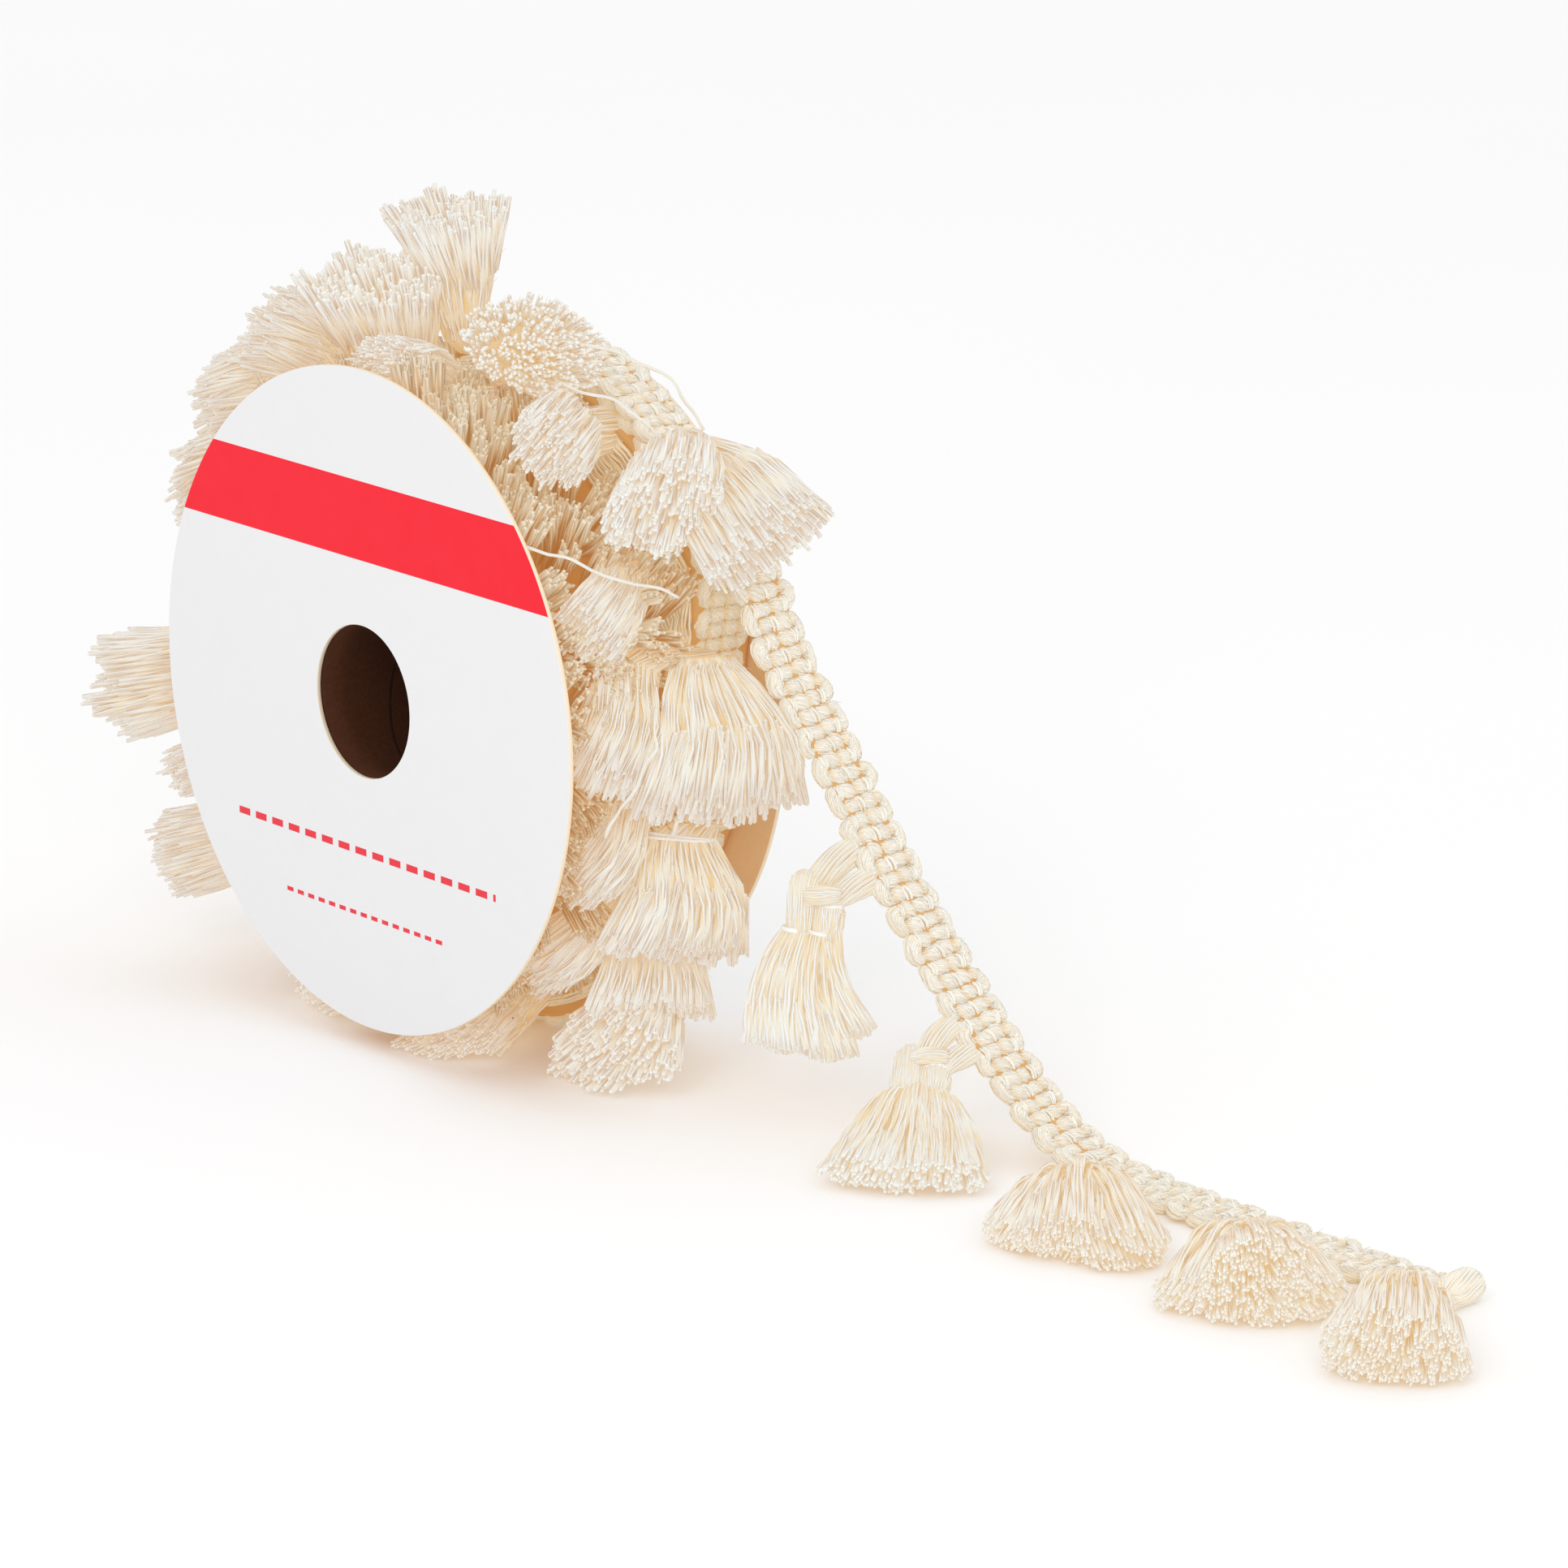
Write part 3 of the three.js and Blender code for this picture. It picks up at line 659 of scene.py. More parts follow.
def skirt(strands, t, count, stubs, steps, sides, ragged, fray, hairs, fill=END_FILL, tilt=0.0,
          yarn=YARN_RADIUS, crimp=CRIMP):
    """Long yarns near the tassel's surface, stubs that fill its end, and a thick filling inside."""
    rng = strands.rng
    end_radius = np.clip(math.sqrt(fill * t.pile * t.half.prod() / (count + stubs)), *END_RADII)
    long_ones = disc_places(count, rng, 0.34)
    short_ones = disc_places(stubs, rng, 0.52)
    for spots, start, rings in ((long_ones, 0.0, steps), (short_ones, STUB_START, 2)):
        rim = np.linalg.norm(spots, axis=1)[:, None]
        paths = skirt_paths(t, spots, rings, rng, ragged, start=start, tilt=tilt, crimp=crimp)
        paths = between_discs(paths)
        u = np.linspace(start, 1, rings)[None]
        radius = lerp(yarn, end_radius, smooth(u * 1.1)) * rng.uniform(0.82, 1.18, (len(spots), 1))
        radius[:, -1] *= 0.86
        # painted shade: darker near the neck and toward the middle of the tassel, light at the cut ends
        value = lerp(0.52, 0.74, smooth(u * 1.3)) * lerp(0.42, 1.0, smooth(rim * 1.2))
        strands.tubes(paths, radius, sides, lerp(value, 0.95, smooth((u - 0.78) / 0.22)))
        ends = paths[rng.random(len(paths)) < fray / 2]
        strands.frayed_ends(ends, split=2, length=1.1, spread=end_radius * 0.45, radius=end_radius * 0.6)
        if rings > 2:
            strands.hairs(paths, int(count * hairs), reach=3.6, shade=0.95)
    inside = disc_places(7, rng) * FILLING_SHARE
    paths = between_discs(skirt_paths(t, inside, 7, rng, 0.3, t.solid, wave=0.0, pull=0.0))
    u = np.linspace(0, 1, 7)
    radius = lerp(0.9, 0.36 * t.half[1] * t.pile, smooth(u * 1.2))
    # the filling inside in painted shade
    strands.tubes(paths, radius, sides=6, shade=lerp(0.3, 0.8 * t.solid, u), tone=0.5)


# The tied head of a loose tassel: two lobes side by side, each a run of yarns over a core
LOBE_SIDES = (-3.2, 3.2)
LOBE_TOPS = (8.9, 3.2)
LOBE_HALF_WIDTH = 3.4
LOBE_LANES = 14
LOBE_CORE = LOBE_RADIUS * np.array([0.5, 0.74, 0.76, 0.74, 0.6])
HEAD_YARN = 0.52
HEAD_SHADE = 0.72
WRAP_RADIUS = LOBE_RADIUS * 0.8 + 0.35


def head_yarns(strands, t):
    """Lobes of yarn that rise from the neck, pass over the top and go down behind."""
    neck = t.neck_at * (t.tip - t.head) @ t.along
    lane = np.linspace(-1, 1, LOBE_LANES)[:, None]
    room = np.sqrt(1 - 0.86 * lane ** 2)
    deep = LOBE_RADIUS * 0.86 * room
    s = np.linspace(0, 1, 13)[None]
    turn = np.clip((s - 0.3) / 0.4, 0, 1) * PI
    flank = np.minimum(s, 1 - s) / 0.3
    for side, top in zip(LOBE_SIDES, LOBE_TOPS):
        crest = -top + deep + (1 - room) * 5.0
        rise = np.where(flank < 1, lerp(neck + 0.8, crest, flank), crest - np.sin(turn) * deep)[..., None]
        belly = 1 - 0.16 * smooth((rise - neck + 3.2) / 3.6)
        out = (np.cos(turn) * deep)[..., None] * belly
        across = side + lane[..., None] * LOBE_HALF_WIDTH * belly
        paths = t.head + rise * t.along + across * t.wide_axis + out * t.deep_axis
        strands.bundle(paths, 0.1, HEAD_SHADE)
        rises = np.linspace(-top + 2.2, neck + 0.4, len(LOBE_CORE))[:, None]
        strands.tubes(t.head + t.along * rises + t.wide_axis * side, LOBE_CORE, sides=8, shade=0.4, tone=0.5)


def thread_wrap(strands, t, centre, radii, turns, rise, thick):
    """White thread wound round a lobe."""
    angle = np.linspace(0, 2 * PI * turns, 34)[:, None]
    path = centre + t.wide_axis * np.cos(angle) * radii[0] + t.deep_axis * np.sin(angle) * radii[1]
    path = path + np.cross(t.wide_axis, t.deep_axis) * np.linspace(-0.5, 0.5, 34)[:, None] * rise
    strands.tubes(path, thick, sides=5, shade=1.0, slot=TIE_SLOT)


def ties(strands, t):
    """White thread round each neck, and round the top of the last lobe."""
    neck = t.axis(t.neck_at * 0.97)
    for side in LOBE_SIDES:
        centre = neck + t.wide_axis * side * 0.98
        thread_wrap(strands, t, centre, (WRAP_RADIUS, WRAP_RADIUS * 0.9), turns=2.15, rise=0.9, thick=0.38)
    top = t.head - t.along * 1.6 + t.wide_axis * LOBE_SIDES[-1]
    radii = (WRAP_RADIUS * 0.96, WRAP_RADIUS * 0.88)
    thread_wrap(strands, t, top, radii, turns=2.1, rise=0.8, thick=0.34)


def tie_line(strands, t):
    """White thread round a loop that lies flat."""
    angle = np.linspace(0, 2 * PI * 2.1, 40)
    share = t.neck_at + 0.04 + 0.012 * np.sin(angle * 0.5)
    ring = np.stack([np.cos(angle), np.sin(angle)], axis=1) * 1.04
    strands.tubes(t.spread(ring, share), 0.4, sides=5, shade=1.0, slot=TIE_SLOT)


BAR_SHADE = 0.7
BAR_MIDDLE = 1.4
BAR_HALF = 4.6
BAR_RISE = -3.9
BAR_DEPTH = LOBE_RADIUS * 0.6 + 0.6
BAR_CORE = (0.8, 1.4, 1.6, 1.4, 0.8)


def crossbar(strands, t):
    """Yarn that passes in front of the lobes at the head's top."""
    u = np.linspace(-1, 1, 9)[None, :, None]
    lane = np.linspace(-1, 1, 9)[:, None, None]
    bow = np.sqrt(np.clip(1 - (u * 0.97) ** 2, 0, 1))
    front = LOBE_RADIUS * 0.62 + 2.2 * bow * np.sqrt(1 - 0.8 * lane * lane)
    rise = BAR_RISE + lane * 2.1 * (0.6 + 0.4 * bow) - 0.5 * u
    across = BAR_MIDDLE + u * BAR_HALF
    paths = t.head + t.wide_axis * across + t.along * rise + t.deep_axis * front
    strands.bundle(paths, 0.08, BAR_SHADE)
    across = BAR_MIDDLE + np.linspace(-3.6, 3.6, len(BAR_CORE))[:, None]
    inside = t.head + t.wide_axis * across + t.along * BAR_RISE + t.deep_axis * BAR_DEPTH
    strands.tubes(inside, BAR_CORE, sides=8, shade=0.5, tone=0.5)


LEG_LIFT = np.array([-1.26, -1.552, 1.2])
LEG_YARNS = 18
LEG_ROOT = 3.0
LEG_TWIST = 0.9
LEG_FLATNESS = 0.55


def leg(strands, t, root, goal, lift, goal_size):
    """A bundle of yarn from the braid's edge to the head; lift is how its middle stands off."""
    u = np.linspace(0, 1, 9)[:, None]
    middle = (root + goal) / 2 + lift
    spine = (1 - u) ** 2 * root + 2 * u * (1 - u) * middle + u * u * goal
    run = unit(np.gradient(spine, axis=0))
    flat = unit(np.cross(run, t.deep_axis))
    face = unit(np.cross(flat, run))
    wide = lerp(LEG_ROOT, goal_size, u) * (1 + 0.12 * np.sin(PI * u))
    angle = (2 * PI * np.arange(LEG_YARNS)[:, None] / LEG_YARNS + LEG_TWIST * u[:, 0])[..., None]
    paths = spine + (flat * np.cos(angle) + face * np.sin(angle) * LEG_FLATNESS) * wide
    strands.bundle(paths, 0.05, BAR_SHADE)
    for side in (-0.42, 0.42):
        strands.tubes(spine + flat * wide * side, wide[None, :, 0] * 0.52, sides=6, shade=0.5, tone=0.5)


def legs(strands, t, edge, away):
    """The two bundles that hold the head: one behind it, one into its second lobe."""
    behind = t.head - t.along * 4.6 - t.wide_axis * 1.4 - t.deep_axis * 1.2
    beside = t.head - t.along * 3.2 + t.wide_axis * 4.4
    leg(strands, t, edge[0], behind, LEG_LIFT, goal_size=2.6)
    leg(strands, t, edge[1], beside, LEG_LIFT * 0.3 + away * 1.4, goal_size=2.3)


# Tassels on the reel, by angle, radius and y: the head, the tip, the size of the cut end, the turn
# of its wide side, and how the skirt bows out, curls round and fans
REEL_STUBS = 290
ReelRow = namedtuple("ReelRow", "name deg r y tip wide deep turn bow curl fan full loop flare stubs",
                     defaults=(0, 0, 1.0, 1.0, FLARE, REEL_STUBS))
REEL_TASSELS = [
    ReelRow("a", 96, 83, 6, (95, 117, 1), 29, 13, -65, 0, curl=2, loop=0.7, flare=1.4),
    ReelRow("b", 109, 76, -3, (101, 103, -15), 27, 14, -68, 3, full=1.18),
    ReelRow("c", 92, 71, -1, (90, 84, -26), 22, 7, 90, 4),
    ReelRow("d", 124, 76, 0, (127, 102, -18), 26, 11, 90, 5, curl=4),
    ReelRow("e", 152, 76, 0, (161, 97, -21), 24, 11, 90, 8, curl=3),
    ReelRow("f", 188, 84, -1, (190, 119, -25), 25, 15, 90, 3),
    ReelRow("g", 216, 80, 0, (212, 117, -23), 20, 11, 90, 3),
    ReelRow("h", 200, 72, -2, (203, 99, -25), 11, 7, 90, 2),
    ReelRow("k", -17, 79, 6, (-34, 94, 0), 32, 10, 0, 5, fan=0.5),
    ReelRow("l", 13, 87, 6, (-9, 94, 3), 32, 10, 0, 6, fan=0.55, full=1.15),
    ReelRow("m", 31, 73, 0, (20, 77, -20.5), 18, 8, 78, 4),
    ReelRow("n", 47, 88, 13, (27, 107, 17), 33, 12, 0, 6, fan=0.3),
    ReelRow("o", 60, 79, 2, (50, 91, -21), 19, 9, 85, 6),
    ReelRow("p", 78, 82, 3, (67, 99, -9), 25, 15, -42, 3, full=1.2, stubs=520),
    ReelRow("q", 15, 73.5, -6, (-6, 76, -20), 18, 8, 50, 4),
    ReelRow("r", -10, 71, -4, (-28, 75, -20), 18, 8, 58, 4),
    ReelRow("s", -34, 71, -3, (-50, 77, -20), 18, 8, 60, 4),
    ReelRow("t", -37, 80, 6, (-44, 99, -1), 28, 9, 0, 3, fan=0.5),
]

# Locks that part from a tassel and turn their cut ends another way
SECOND_FANS = {
    "n": {"tip": (34, 102, -8), "wide": 27, "turn": 30, "deep": 14},
    "d": {"deg": 133, "tip": (143, 99, -22), "wide": 24, "turn": 80, "bow": 7, "curl": 4},
}
TIED = ("k", "b", "f")

# Tassels pressed level on the table under the reel; wall is where each leaves the braid stack
FloorRow = namedtuple("FloorRow", "name head tip wide deep wall")
FLOOR_TASSELS = [
    FloorRow("u", (58, 9, 18), (67, -13, 1), 38, 15, (-55, 79)),
    FloorRow("v", (9, 6, 6.5), (18, -27, 1), 29, 8, (-83, 78)),
    FloorRow("w", (-26, 6, 9.5), (-28, -27, 1), 36, 14, (-108, 79)),
]

# The loose end's tassels; each skirt is made of locks with cut ends of their own
Lock = namedtuple("Lock", "tip wide deep yarns stubs pile hump tilt flare", defaults=(1.0, 0, 0.0, FLARE))
TailRow = namedtuple("TailRow", "name lobe head neck bow yarn fill solid sides locks")
TAIL_TASSELS = [
    TailRow("1", 27, (116.5, 14, 53), 0.16, (-2.0, -2.4, 0), 0.62, 1.35, 0.93, 4, [
        Lock((116.5, 9.5, 18.5), 30, 16, 220, 80, flare=0.9),
        Lock((124, 18, 22), 15, 10, 60, 30, flare=1.3),
    ]),
    TailRow("2", 21, (152.5, 16.5, 19.5), 0.14, (0, 0, 0), 0.66, 1.2, 0.93, 4, [
        Lock((174, -8, 0.9), 46, 20, 270, 100, 0.4, 3),
    ]),
    TailRow("3", 14, (208, 18, 5), 0.08, (0, 0, 0), 0.7, 1.1, 0.72, 3, [
        Lock((237, -9, 0.9), 32, 16, 140, 300, 0.6, 9),
        Lock((222, -15, 0.9), 25, 12, 90, 50, 0.5, 8),
        Lock((249, -3, 0.9), 24, 14, 90, 50, 0.6, 9),
    ]),
    TailRow("4", 7, (264, 18, 5), 0.08, (0, 0, 0), 0.7, 1.1, 0.7, 3, [
        Lock((297, -7, 0.9), 33, 23, 150, 480, 0.9, 4, 0.1),
        Lock((279, -15, 0.9), 21, 12, 90, 50, 0.6, 9),
        Lock((302, 6, 0.9), 22, 14, 80, 30, 0.7, 8),
    ]),
    TailRow("5", 1, (316, 18, 5), 0.08, (0, 0, 0), 0.7, 1.1, 0.7, 3, [
        Lock((342, -11, 0.9), 36, 22, 190, 480, 0.75, 8),
        Lock((331, -12, 0.9), 22, 16, 90, 60, 0.8, 8),
    ]),
]
ON_TABLE = 10.0

REEL_YARNS = 150
FULL_WIDE = 1.22
FULL_DEEP = 1.7
ROOT_Y = STACK_FACE_Y + 1.5
ROOT_RADII = (68, 79)


def reel_tassel(name, tassels, stubs, ragged, seed):
    strands = Strands(seed)
    for t in tassels:
        skirt(strands, t, REEL_YARNS, stubs, steps=8, sides=3, ragged=ragged, fray=0.45, hairs=1.5)
    if name in TIED:
        tie_line(strands, tassels[0])
    strands.piece(f"tassel_reel_{name}_yarn", tassel_yarn, f"tassel_reel_{name}")


def reel_fan(row):
    """One lock of a tassel pressed between the turns; its table row holds the solid's values."""
    tip_deg, tip_r, tip_y = row.tip
    around = outward_at(tip_deg + 90)
    outward = outward_at((row.deg + tip_deg) / 2)
    turn = math.radians(row.turn)
    hint = ACROSS * math.cos(turn) + around * math.sin(turn) + outward * row.fan
    return Tassel(on_reel(row.deg, row.r, row.y), on_reel(tip_deg, tip_r, tip_y), hint,
                  row.wide * FULL_WIDE * row.full, row.deep * FULL_DEEP,
                  bow=outward * row.bow - around * row.curl,
                  root=on_reel(row.deg, np.clip(row.r, *ROOT_RADII), ROOT_Y),
                  loop=row.loop, flare=row.flare)


def reel_tassels():
    for index, row in enumerate(REEL_TASSELS):
        fans = [reel_fan(row)]
        if row.name in SECOND_FANS:
            fans.append(reel_fan(row._replace(**SECOND_FANS[row.name])))
        reel_tassel(row.name, fans, row.stubs, ragged=1.2, seed=100 + index)
    for index, row in enumerate(FLOOR_TASSELS):
        t = Tassel(row.head, row.tip, np.array([1.0, 0, 0]), row.wide * FULL_WIDE, row.deep * FULL_DEEP,
                   level=True, root=on_reel(*row.wall, ROOT_Y))
        reel_tassel(row.name, [t], REEL_STUBS, ragged=1.1, seed=140 + index)


# Single yarns that have slipped out and hang over the trim: angle, radius and y of their stops
STRAY_YARNS = (
    ((38, 82, -31.5), (33, 86, -24), (27, 91, -12), (24, 93, -2)),
    ((70, 96, -2), (60, 104, 6), (52, 104, 14), (47, 98, 20)),
    ((62, 94, -6), (53, 98, 2), (46, 95, 10), (41, 92, 16)),
    ((8, 92, -14), (2, 95, -18), (-5, 90, -22), (-12, 86, -24)),
)
STRAY_WAVES = (0.9, 1.3, 0.7)


def stray_yarns():
    strands = Strands(seed=31)
    for stops in STRAY_YARNS:
        path = centripetal([on_reel(*stop) for stop in stops], per_span=6)
        sway = np.arange(len(path))[:, None] * STRAY_WAVES + strands.rng.random(3) * 6
        strands.tubes(path + 0.5 * np.sin(sway), 0.42, sides=5, shade=0.9)
    strands.piece("stray_yarns", tassel_yarn)


# Braid route, the same as its solid's

TAIL_ROUTE = [
    (73, 22, 137), (84.5, 22.5, 124.5), (91.5, 23.8, 110), (101, 25.6, 95.5), (111.5, 27.3, 81.5),
    (122.5, 29, 66.5), (133.5, 31, 52), (145, 32.7, 38.5), (157.5, 34.4, 25.5), (170.5, 36.2, 13.5),
    (185.5, 38, 5), (203, 38.6, 2), (227, 37.6, 1.95), (250, 37.2, 1.95), (270, 38.2, 1.95),
    (291, 38.4, 1.95), (301, 39.2, 1.95), (310, 40.4, 1.95),
]
LOBE_PITCH = 8.0
BRAID_HALF_WIDTH = 8.5
LOOSE_RADIUS = STACK_RADIUS + GAP + 0.45 + 1.5
LOOSE_ARC = range(90, 45, -5)


class Ribbon:
    """Places on and above a band: run along it, x across it, z off its middle."""

    def __init__(self, line):
        self.distance = run_along(line)
        self.length = self.distance[-1]
        self.rows = 2 * round(self.length / LOBE_PITCH)
        self.row_length = self.length / self.rows
        run = unit(np.gradient(line, axis=0))
        normal = unit(np.cross(run, ACROSS))
        self.line, self.side, self.normal = line, unit(np.cross(normal, run)), normal

    def at(self, run, x, z):
        run, x, z = np.broadcast_arrays(run, x, z)
        spot, side, normal = (read_at(values, self.distance, np.clip(run, 0, self.length))
                              for values in (self.line, self.side, self.normal))
        return spot + side * x[..., None] + normal * z[..., None]


WARP_COLUMNS = np.array([-4.6, 0.0, 4.6])
HALF_STOPS = (0.5, 1.2, 2.3, 3.4, 4.1, 4.6, 5.1, 5.7)
WEFT_STOPS = np.array([-x for x in HALF_STOPS[::-1]] + [0.0, *HALF_STOPS])
WEFT_YARNS = 8
WEFT_HALF_SIZE = (2.14, 1.5)
WEFT_TWIST_MM = 22.0
WEFT_SQUARE = 0.8
WEFT_TONE = np.array([0.5])
WARP_HEIGHT = 1.25
WARP_DENT = 0.56
WARP_TWIN = 0.42
UNEVEN_WAVES = np.array([[0.31, -0.5, 0.4], [0.7, 0.6, -0.45], [0.43, 0.37, 0.66]])
CORE_END = 4.0
CORE_HALF_WIDTH = 5.6
ROLL_RADIUS = 3.7
ROLL_HALF_LENGTH = 5.8
ROLL_YARNS = 26


def weft_centre(ribbon, stops, turn_steps):
    """The weft's middle line over the band: run and across, the way to its left, and how full it is."""
    edge, places = stops[-1], []
    for row in range(ribbon.rows):
        way = -1 if row % 2 == 0 else 1
        x = way * stops
        nearest = np.abs(x[:, None] - WARP_COLUMNS)
        swell = np.clip(nearest.min(1) / 1.1, 0, 1) ** 1.5
        held = np.where((row + nearest.argmin(1)) % 2 == 0, 1.0, 0.7)
        full = 1 - WARP_DENT * held * (1 - swell) + 0.05 * (nearest.min(1) > 2)
        for spot, share in zip(x, full):
            places.append(((row + 0.5) * ribbon.row_length, spot, -way, 0.0, share))
        if row == ribbon.rows - 1:
            break
        bulge = BRAID_HALF_WIDTH - edge - WEFT_HALF_SIZE[0]
        for angle in np.linspace(-PI / 2, PI / 2, turn_steps + 2)[1:-1]:
            rise, out = np.sin(angle), np.cos(angle)
            run = (row + 1 + rise / 2) * ribbon.row_length
            places.append((run, way * (edge + out * bulge), way * rise, out, 1.05))
    return np.array(places)


def squared(values):
    return np.sign(values) * np.abs(values) ** WEFT_SQUARE


def weft(ribbon, ridge, stops, turn_steps):
    """The twisted bundle of weft yarns to and fro across the band: its skin, ends and shade."""
    run, x, left_run, left_x, full = weft_centre(ribbon, stops, turn_steps).T[..., None]
    step = np.hypot(np.diff(run, axis=0, prepend=run[:1]), np.diff(x, axis=0, prepend=x[:1]))
    sides = WEFT_YARNS * len(ridge)
    angle = 2 * PI * (np.cumsum(step, axis=0) / WEFT_TWIST_MM + np.arange(sides) / sides)
    ridge = np.tile(ridge, WEFT_YARNS)
    lane = squared(np.cos(angle)) * WEFT_HALF_SIZE[0] * ridge * (0.5 + 0.5 * full)
    height = squared(np.sin(angle)) * WEFT_HALF_SIZE[1] * ridge * full
    body = ribbon.at(run + left_run * lane, x + left_x * lane, height)[None]
    # painted shade: darker where the warps pinch the weft, on its lower side and in the grooves between its
    # yarns
    pressed = np.clip((full - 0.4) / 0.6, 0, 1)
    shade = pressed * np.clip(0.72 + 0.3 * np.sin(angle), 0, 1) - 2.4 * (1 - ridge)
    return body, body[:, [0, -1]].mean(2), shade[None]


def warp(ribbon, per_row):
    """Paths of the thin yarns that run along the band and bind it."""
    s = np.arange(ribbon.rows * per_row + 1) / per_row
    paths = []
    for index, column in enumerate(WARP_COLUMNS):
        wave = np.cos(PI * (s - 0.5 + index))
        height = np.sign(wave) * np.abs(wave) ** 0.6 * WARP_HEIGHT
        for twin, share in ((-WARP_TWIN, 0.8), (WARP_TWIN, 1)):
            x = column + twin + 0.3 * np.sin(PI * (s + 0.25) + twin)
            paths.append(ribbon.at(s * ribbon.row_length, x, height * share))
    return np.stack(paths)


def braid_core(ribbon):
    """The closed flat band under the weave, in painted deep shade that shows through the weave's gaps."""
    length = ribbon.length - CORE_END
    run = np.linspace(0, length, int(length / 2) + 1)
    rings = [ribbon.at(run, x * z * -CORE_HALF_WIDTH, z * 0.5) for z in (-1, 1) for x in (-1, -0.4, 0.4, 1)]
    rings = np.stack(rings, axis=1)
    rings[..., 2] = np.maximum(rings[..., 2], 0.1)
    core = solid_piece("braid_loose_end_core", rings, deep_yarn, 0.1, closed=False)
    return settle(core, "cotton", "braid_loose_end"), (2 * CORE_HALF_WIDTH * MM, length * MM)


def rolled_end(strands, ribbon):
    """The trim's cut end, rolled under: yarns that lie across the band round a core."""
    across = np.linspace(-1, 1, 9)
    taper = 1 - 0.7 * np.abs(across) ** 6
    middle, rise = ribbon.length - 0.5, ROLL_RADIUS - 1.9
    core = ribbon.at(middle, across * ROLL_HALF_LENGTH, rise)
    # the core in painted deep shade between the yarns
    strands.tubes(core, ROLL_RADIUS * 0.9 * taper, sides=12, shade=0.2, tone=0.5)
    angle = 2 * PI * np.arange(ROLL_YARNS)[:, None] / ROLL_YARNS + 0.5 * across
    run = middle + ROLL_RADIUS * taper * np.cos(angle)
    paths = ribbon.at(run, across * ROLL_HALF_LENGTH, rise + ROLL_RADIUS * taper * np.sin(angle))
    past = np.maximum(run - ribbon.length, 0)[..., None]
    strands.tubes(paths + unit(ribbon.line[-1] - ribbon.line[-2]) * past, 0.55, sides=4, shade=0.8)


def loose_braid():
    strands = Strands(seed=7)
    on_stack = [on_reel(deg, LOOSE_RADIUS, BRAID_Y) for deg in LOOSE_ARC]
    ribbon = Ribbon(centripetal(on_stack + TAIL_ROUTE))
    body, ends, level = weft(ribbon, (0.86, 1.0, 1.0), WEFT_STOPS, turn_steps=6)
    body = body + strands.rng.normal(0, 0.07, body.shape)
    body = body + 0.32 * np.sin(body @ UNEVEN_WAVES)
    strands.store(body, ends, lerp(0.1, 0.9, level), WEFT_TONE, WEFT_YARNS)
    strands.tubes(warp(ribbon, per_row=4), 0.46, sides=4, shade=1.1)
    strands.hairs(body[0].transpose(1, 0, 2), count=900, reach=1.8, shade=0.9)
    rolled_end(strands, ribbon)
    weave = strands.piece("braid_loose_end_weave", braid_yarn)
    core, flat = braid_core(ribbon)
    return ribbon


def tail_lock(row, lock):
    level = row.name != "1"
    hint = np.cross(UP, np.subtract(lock.tip, row.head)) if level else np.array([0.8, 0.6, 0.0])
    return Tassel(row.head, lock.tip, hint, lock.wide, lock.deep, level, bow=np.array(row.bow),
                  neck_at=row.neck, half_neck=LOBE_SIDES[-1] + 3.0, pile=lock.pile, hump=lock.hump,
                  solid=row.solid, flare=lock.flare)


def tail_tassels(ribbon):
    for index, row in enumerate(TAIL_TASSELS):
        run = (ribbon.rows - 2 * row.lobe + 1) * ribbon.row_length
        edge = [ribbon.at(run + off, -BRAID_HALF_WIDTH * 0.72, 0.0) for off in (-4.0, 4.0)]
        away = unit(ribbon.at(run, -BRAID_HALF_WIDTH, 0) - ribbon.at(run, 0, 0))
        strands = Strands(seed=200 + index)
        for lock in row.locks:
            t = tail_lock(row, lock)
            skirt(strands, t, lock.yarns, lock.stubs, steps=11, sides=row.sides, ragged=0.6, fray=0.3,
                  hairs=1.0, fill=row.fill, tilt=lock.tilt, yarn=row.yarn, crimp=0.1)
            if lock == row.locks[0]:
                head_yarns(strands, t)
                ties(strands, t)
                crossbar(strands, t)
                legs(strands, t, edge, away)
        # the tassels on the table take the copy with more painted glow
        material = table_yarn if row.head[2] < ON_TABLE else tassel_yarn
        strands.piece(f"tassel_loose_{row.name}_yarn", material, f"tassel_loose_{row.name}")


# Wound trim

def lathe(name, profile, segments, material, shade, move=None):
    """Closed ring of a profile turned round the reel's axis; move shifts each point."""
    angle = (2 * PI * np.arange(segments) / segments)[:, None]
    radius, y, angle = np.broadcast_arrays(*np.asarray(profile, float).T, angle)
    if move:
        radius, y = move(radius, y, angle)
    rings = on_reel(np.degrees(angle), radius, y)
    rings[..., 2] = np.maximum(rings[..., 2], 0.0)
    piece = solid_piece(name, rings, material, shade, closed=True)
    piece.data.polygons.foreach_set("use_smooth", np.ones(len(piece.data.polygons), bool))
    return piece


LOW_STACK = 70.0
LOW_FROM, LOW_TO = 30.0, -62.0
LOW_EASE = 22.0
SAG = 7.0
SAG_DEGREES = 42.0


def around_from(degrees, middle):
    """Degrees from a middle angle, from -180 to 180."""
    return (degrees - middle + 180) % 360 - 180


def shifted(angle):
    """How much further out the stack's rim lies: it sags below, and is lower past the loose end."""
    degrees = np.degrees(angle)
    side = around_from(degrees, 0)
    low = smooth((LOW_FROM - side) / LOW_EASE) * smooth((side - LOW_TO) / LOW_EASE)
    below = np.abs(around_from(degrees, -90))
    return SAG * smooth(1 - below / SAG_DEGREES) - (STACK_RADIUS - LOW_STACK) * low


def stack_share(radius):
    return (radius - BED_RADIUS) / (STACK_RADIUS - BED_RADIUS)


